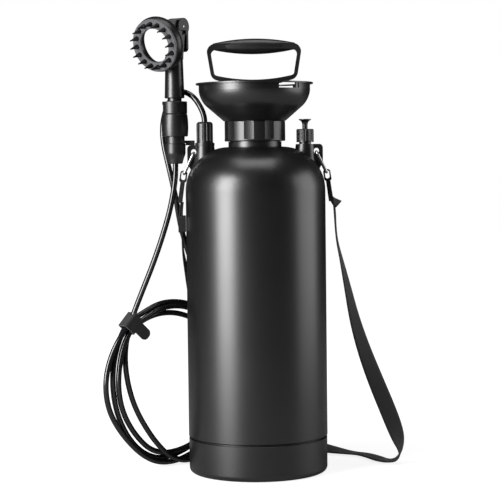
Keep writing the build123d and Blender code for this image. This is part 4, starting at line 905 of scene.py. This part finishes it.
@dataclass(frozen=True)
class Lamp:
    """A soft rectangular lamp that faces the shower's middle."""

    name: str
    place: Point
    size: tuple[float, float]
    power: float
    aim: Point = (0.0, 0.0, 0.3)

    def build(self) -> None:
        """Add the lamp."""
        data = bpy.data.lights.new(self.name, "AREA")
        data.shape = "RECTANGLE"
        data.size, data.size_y = self.size
        data.energy = self.power
        lamp = bpy.data.objects.new(self.name, data)
        bpy.context.scene.collection.objects.link(lamp)
        lamp.location = self.place
        lamp.rotation_euler = (Vector(self.aim) - Vector(self.place)).to_track_quat("-Z", "Y").to_euler()


@dataclass
class Studio:
    """The pale studio: floor, soft lamps and the camera."""

    focal_px: float = 1702.0
    frame_px: int = 500
    sensor: float = 36.0
    camera_at: Point = (-0.0083, -2.28, 0.4235)
    pitch: float = 0.05504
    roll: float = 0.0116
    clip: tuple[float, float] = (0.05, 60.0)
    ambient: float = 0.025
    floor_size: float = 30.0
    floor_drop: float = 0.0005
    floor_shade: float = 0.4
    floor_glow: float = 0.84
    glow_near: float = 0.22
    glow_far: float = 0.9
    lamps: Sequence[Lamp] = (
        Lamp("left_strip", (-1.55, -1.3, 0.74), (1.0, 1.7), 74.0),
        Lamp("right_fill", (1.95, 0.05, 0.6), (1.5, 1.6), 17.0),
        Lamp("top_soft", (0.0, -0.3, 2.1), (1.4, 1.0), 12.0),
    )

    def camera(self) -> None:
        """Set the camera at the photograph's angle."""
        data = bpy.data.cameras.new("camera")
        data.sensor_width = self.sensor
        data.lens = self.focal_px / self.frame_px * self.sensor
        data.clip_start, data.clip_end = self.clip
        camera = bpy.data.objects.new("camera", data)
        bpy.context.scene.collection.objects.link(camera)
        forward = Vector((0.0, math.cos(self.pitch), -math.sin(self.pitch)))
        up = Vector((0.0, math.sin(self.pitch), math.cos(self.pitch)))
        right = Vector((1.0, 0.0, 0.0))
        turned_up = up * math.cos(self.roll) + right * math.sin(self.roll)
        turned_right = right * math.cos(self.roll) - up * math.sin(self.roll)
        basis = Matrix((turned_right, turned_up, -forward)).transposed().to_4x4()
        basis.translation = Vector(self.camera_at)
        camera.matrix_world = basis
        bpy.context.scene.camera = camera

    def world(self) -> None:
        """A white world for the camera and a plain pale one for the light."""
        world = bpy.data.worlds.new("studio")
        bpy.context.scene.world = world
        world.use_nodes = True
        nodes, links = world.node_tree.nodes, world.node_tree.links
        path = nodes.new("ShaderNodeLightPath")
        blend = nodes.new("ShaderNodeMix")
        blend.data_type = "RGBA"
        blend.inputs["A"].default_value = (self.ambient, self.ambient, self.ambient, 1.0)
        blend.inputs["B"].default_value = (1.0, 1.0, 1.0, 1.0)
        links.new(path.outputs["Is Camera Ray"], blend.inputs["Factor"])
        links.new(blend.outputs["Result"], nodes["Background"].inputs["Color"])

    def floor(self) -> None:
        """A white floor that keeps the shower's shadow: its glow is lower near the foot."""
        deselect_all()
        bpy.ops.mesh.primitive_plane_add(size=self.floor_size, location=(0.0, 0.0, -self.floor_drop))
        floor = bpy.context.object
        floor.name = "studio_floor"
        material = bpy.data.materials.new("studio_floor")
        material.use_nodes = True
        nodes, links = material.node_tree.nodes, material.node_tree.links
        nodes.remove(nodes["Principled BSDF"])
        matt = nodes.new("ShaderNodeBsdfDiffuse")
        matt.inputs["Color"].default_value = (self.floor_shade, self.floor_shade, self.floor_shade, 1.0)
        glow = nodes.new("ShaderNodeEmission")
        path = nodes.new("ShaderNodeLightPath")
        coords = nodes.new("ShaderNodeTexCoord")
        apart = nodes.new("ShaderNodeVectorMath")
        apart.operation = "LENGTH"
        fade = nodes.new("ShaderNodeMapRange")
        fade.inputs["From Min"].default_value = self.glow_near
        fade.inputs["From Max"].default_value = self.glow_far
        fade.inputs["To Min"].default_value = self.floor_glow
        share = nodes.new("ShaderNodeMath")
        share.operation = "MULTIPLY"
        both = nodes.new("ShaderNodeAddShader")
        links.new(coords.outputs["Object"], apart.inputs[0])
        links.new(apart.outputs["Value"], fade.inputs["Value"])
        links.new(fade.outputs["Result"], share.inputs[1])
        links.new(path.outputs["Is Camera Ray"], share.inputs[0])
        links.new(share.outputs[0], glow.inputs["Strength"])
        links.new(matt.outputs[0], both.inputs[0])
        links.new(glow.outputs[0], both.inputs[1])
        links.new(both.outputs[0], nodes["Material Output"].inputs["Surface"])
        dress(floor, material)

    def build(self) -> None:
        """Build the studio round the shower."""
        bpy.context.scene.view_settings.view_transform = "Standard"
        self.camera()
        self.world()
        self.floor()
        for lamp in self.lamps:
            lamp.build()
        LOG.info("studio ready")


def main() -> None:
    """Build the shower's pieces in order; the studio, the solids, the hose and the strap pieces log a line
    each.
    """
    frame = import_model()
    groups = NodeGroups()
    materials = {finish.name: finish.build(groups) for finish in FINISHES}
    Studio().build()
    FixedSolids(frame, materials).build()

    hose_plan = Hose()
    hose = hose_plan.build(materials["hose"])
    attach(hose, "tank")
    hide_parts("hose_outlet_run", "hose_coil", "hose_handset_run")
    round(hose_plan.length(), 3)

    CarryStrap().build(frame, materials["webbing"])
    for spring in SPRINGS:
        spring.build(materials["spring_steel"])

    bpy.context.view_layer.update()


if __name__ == "__main__":
    main()
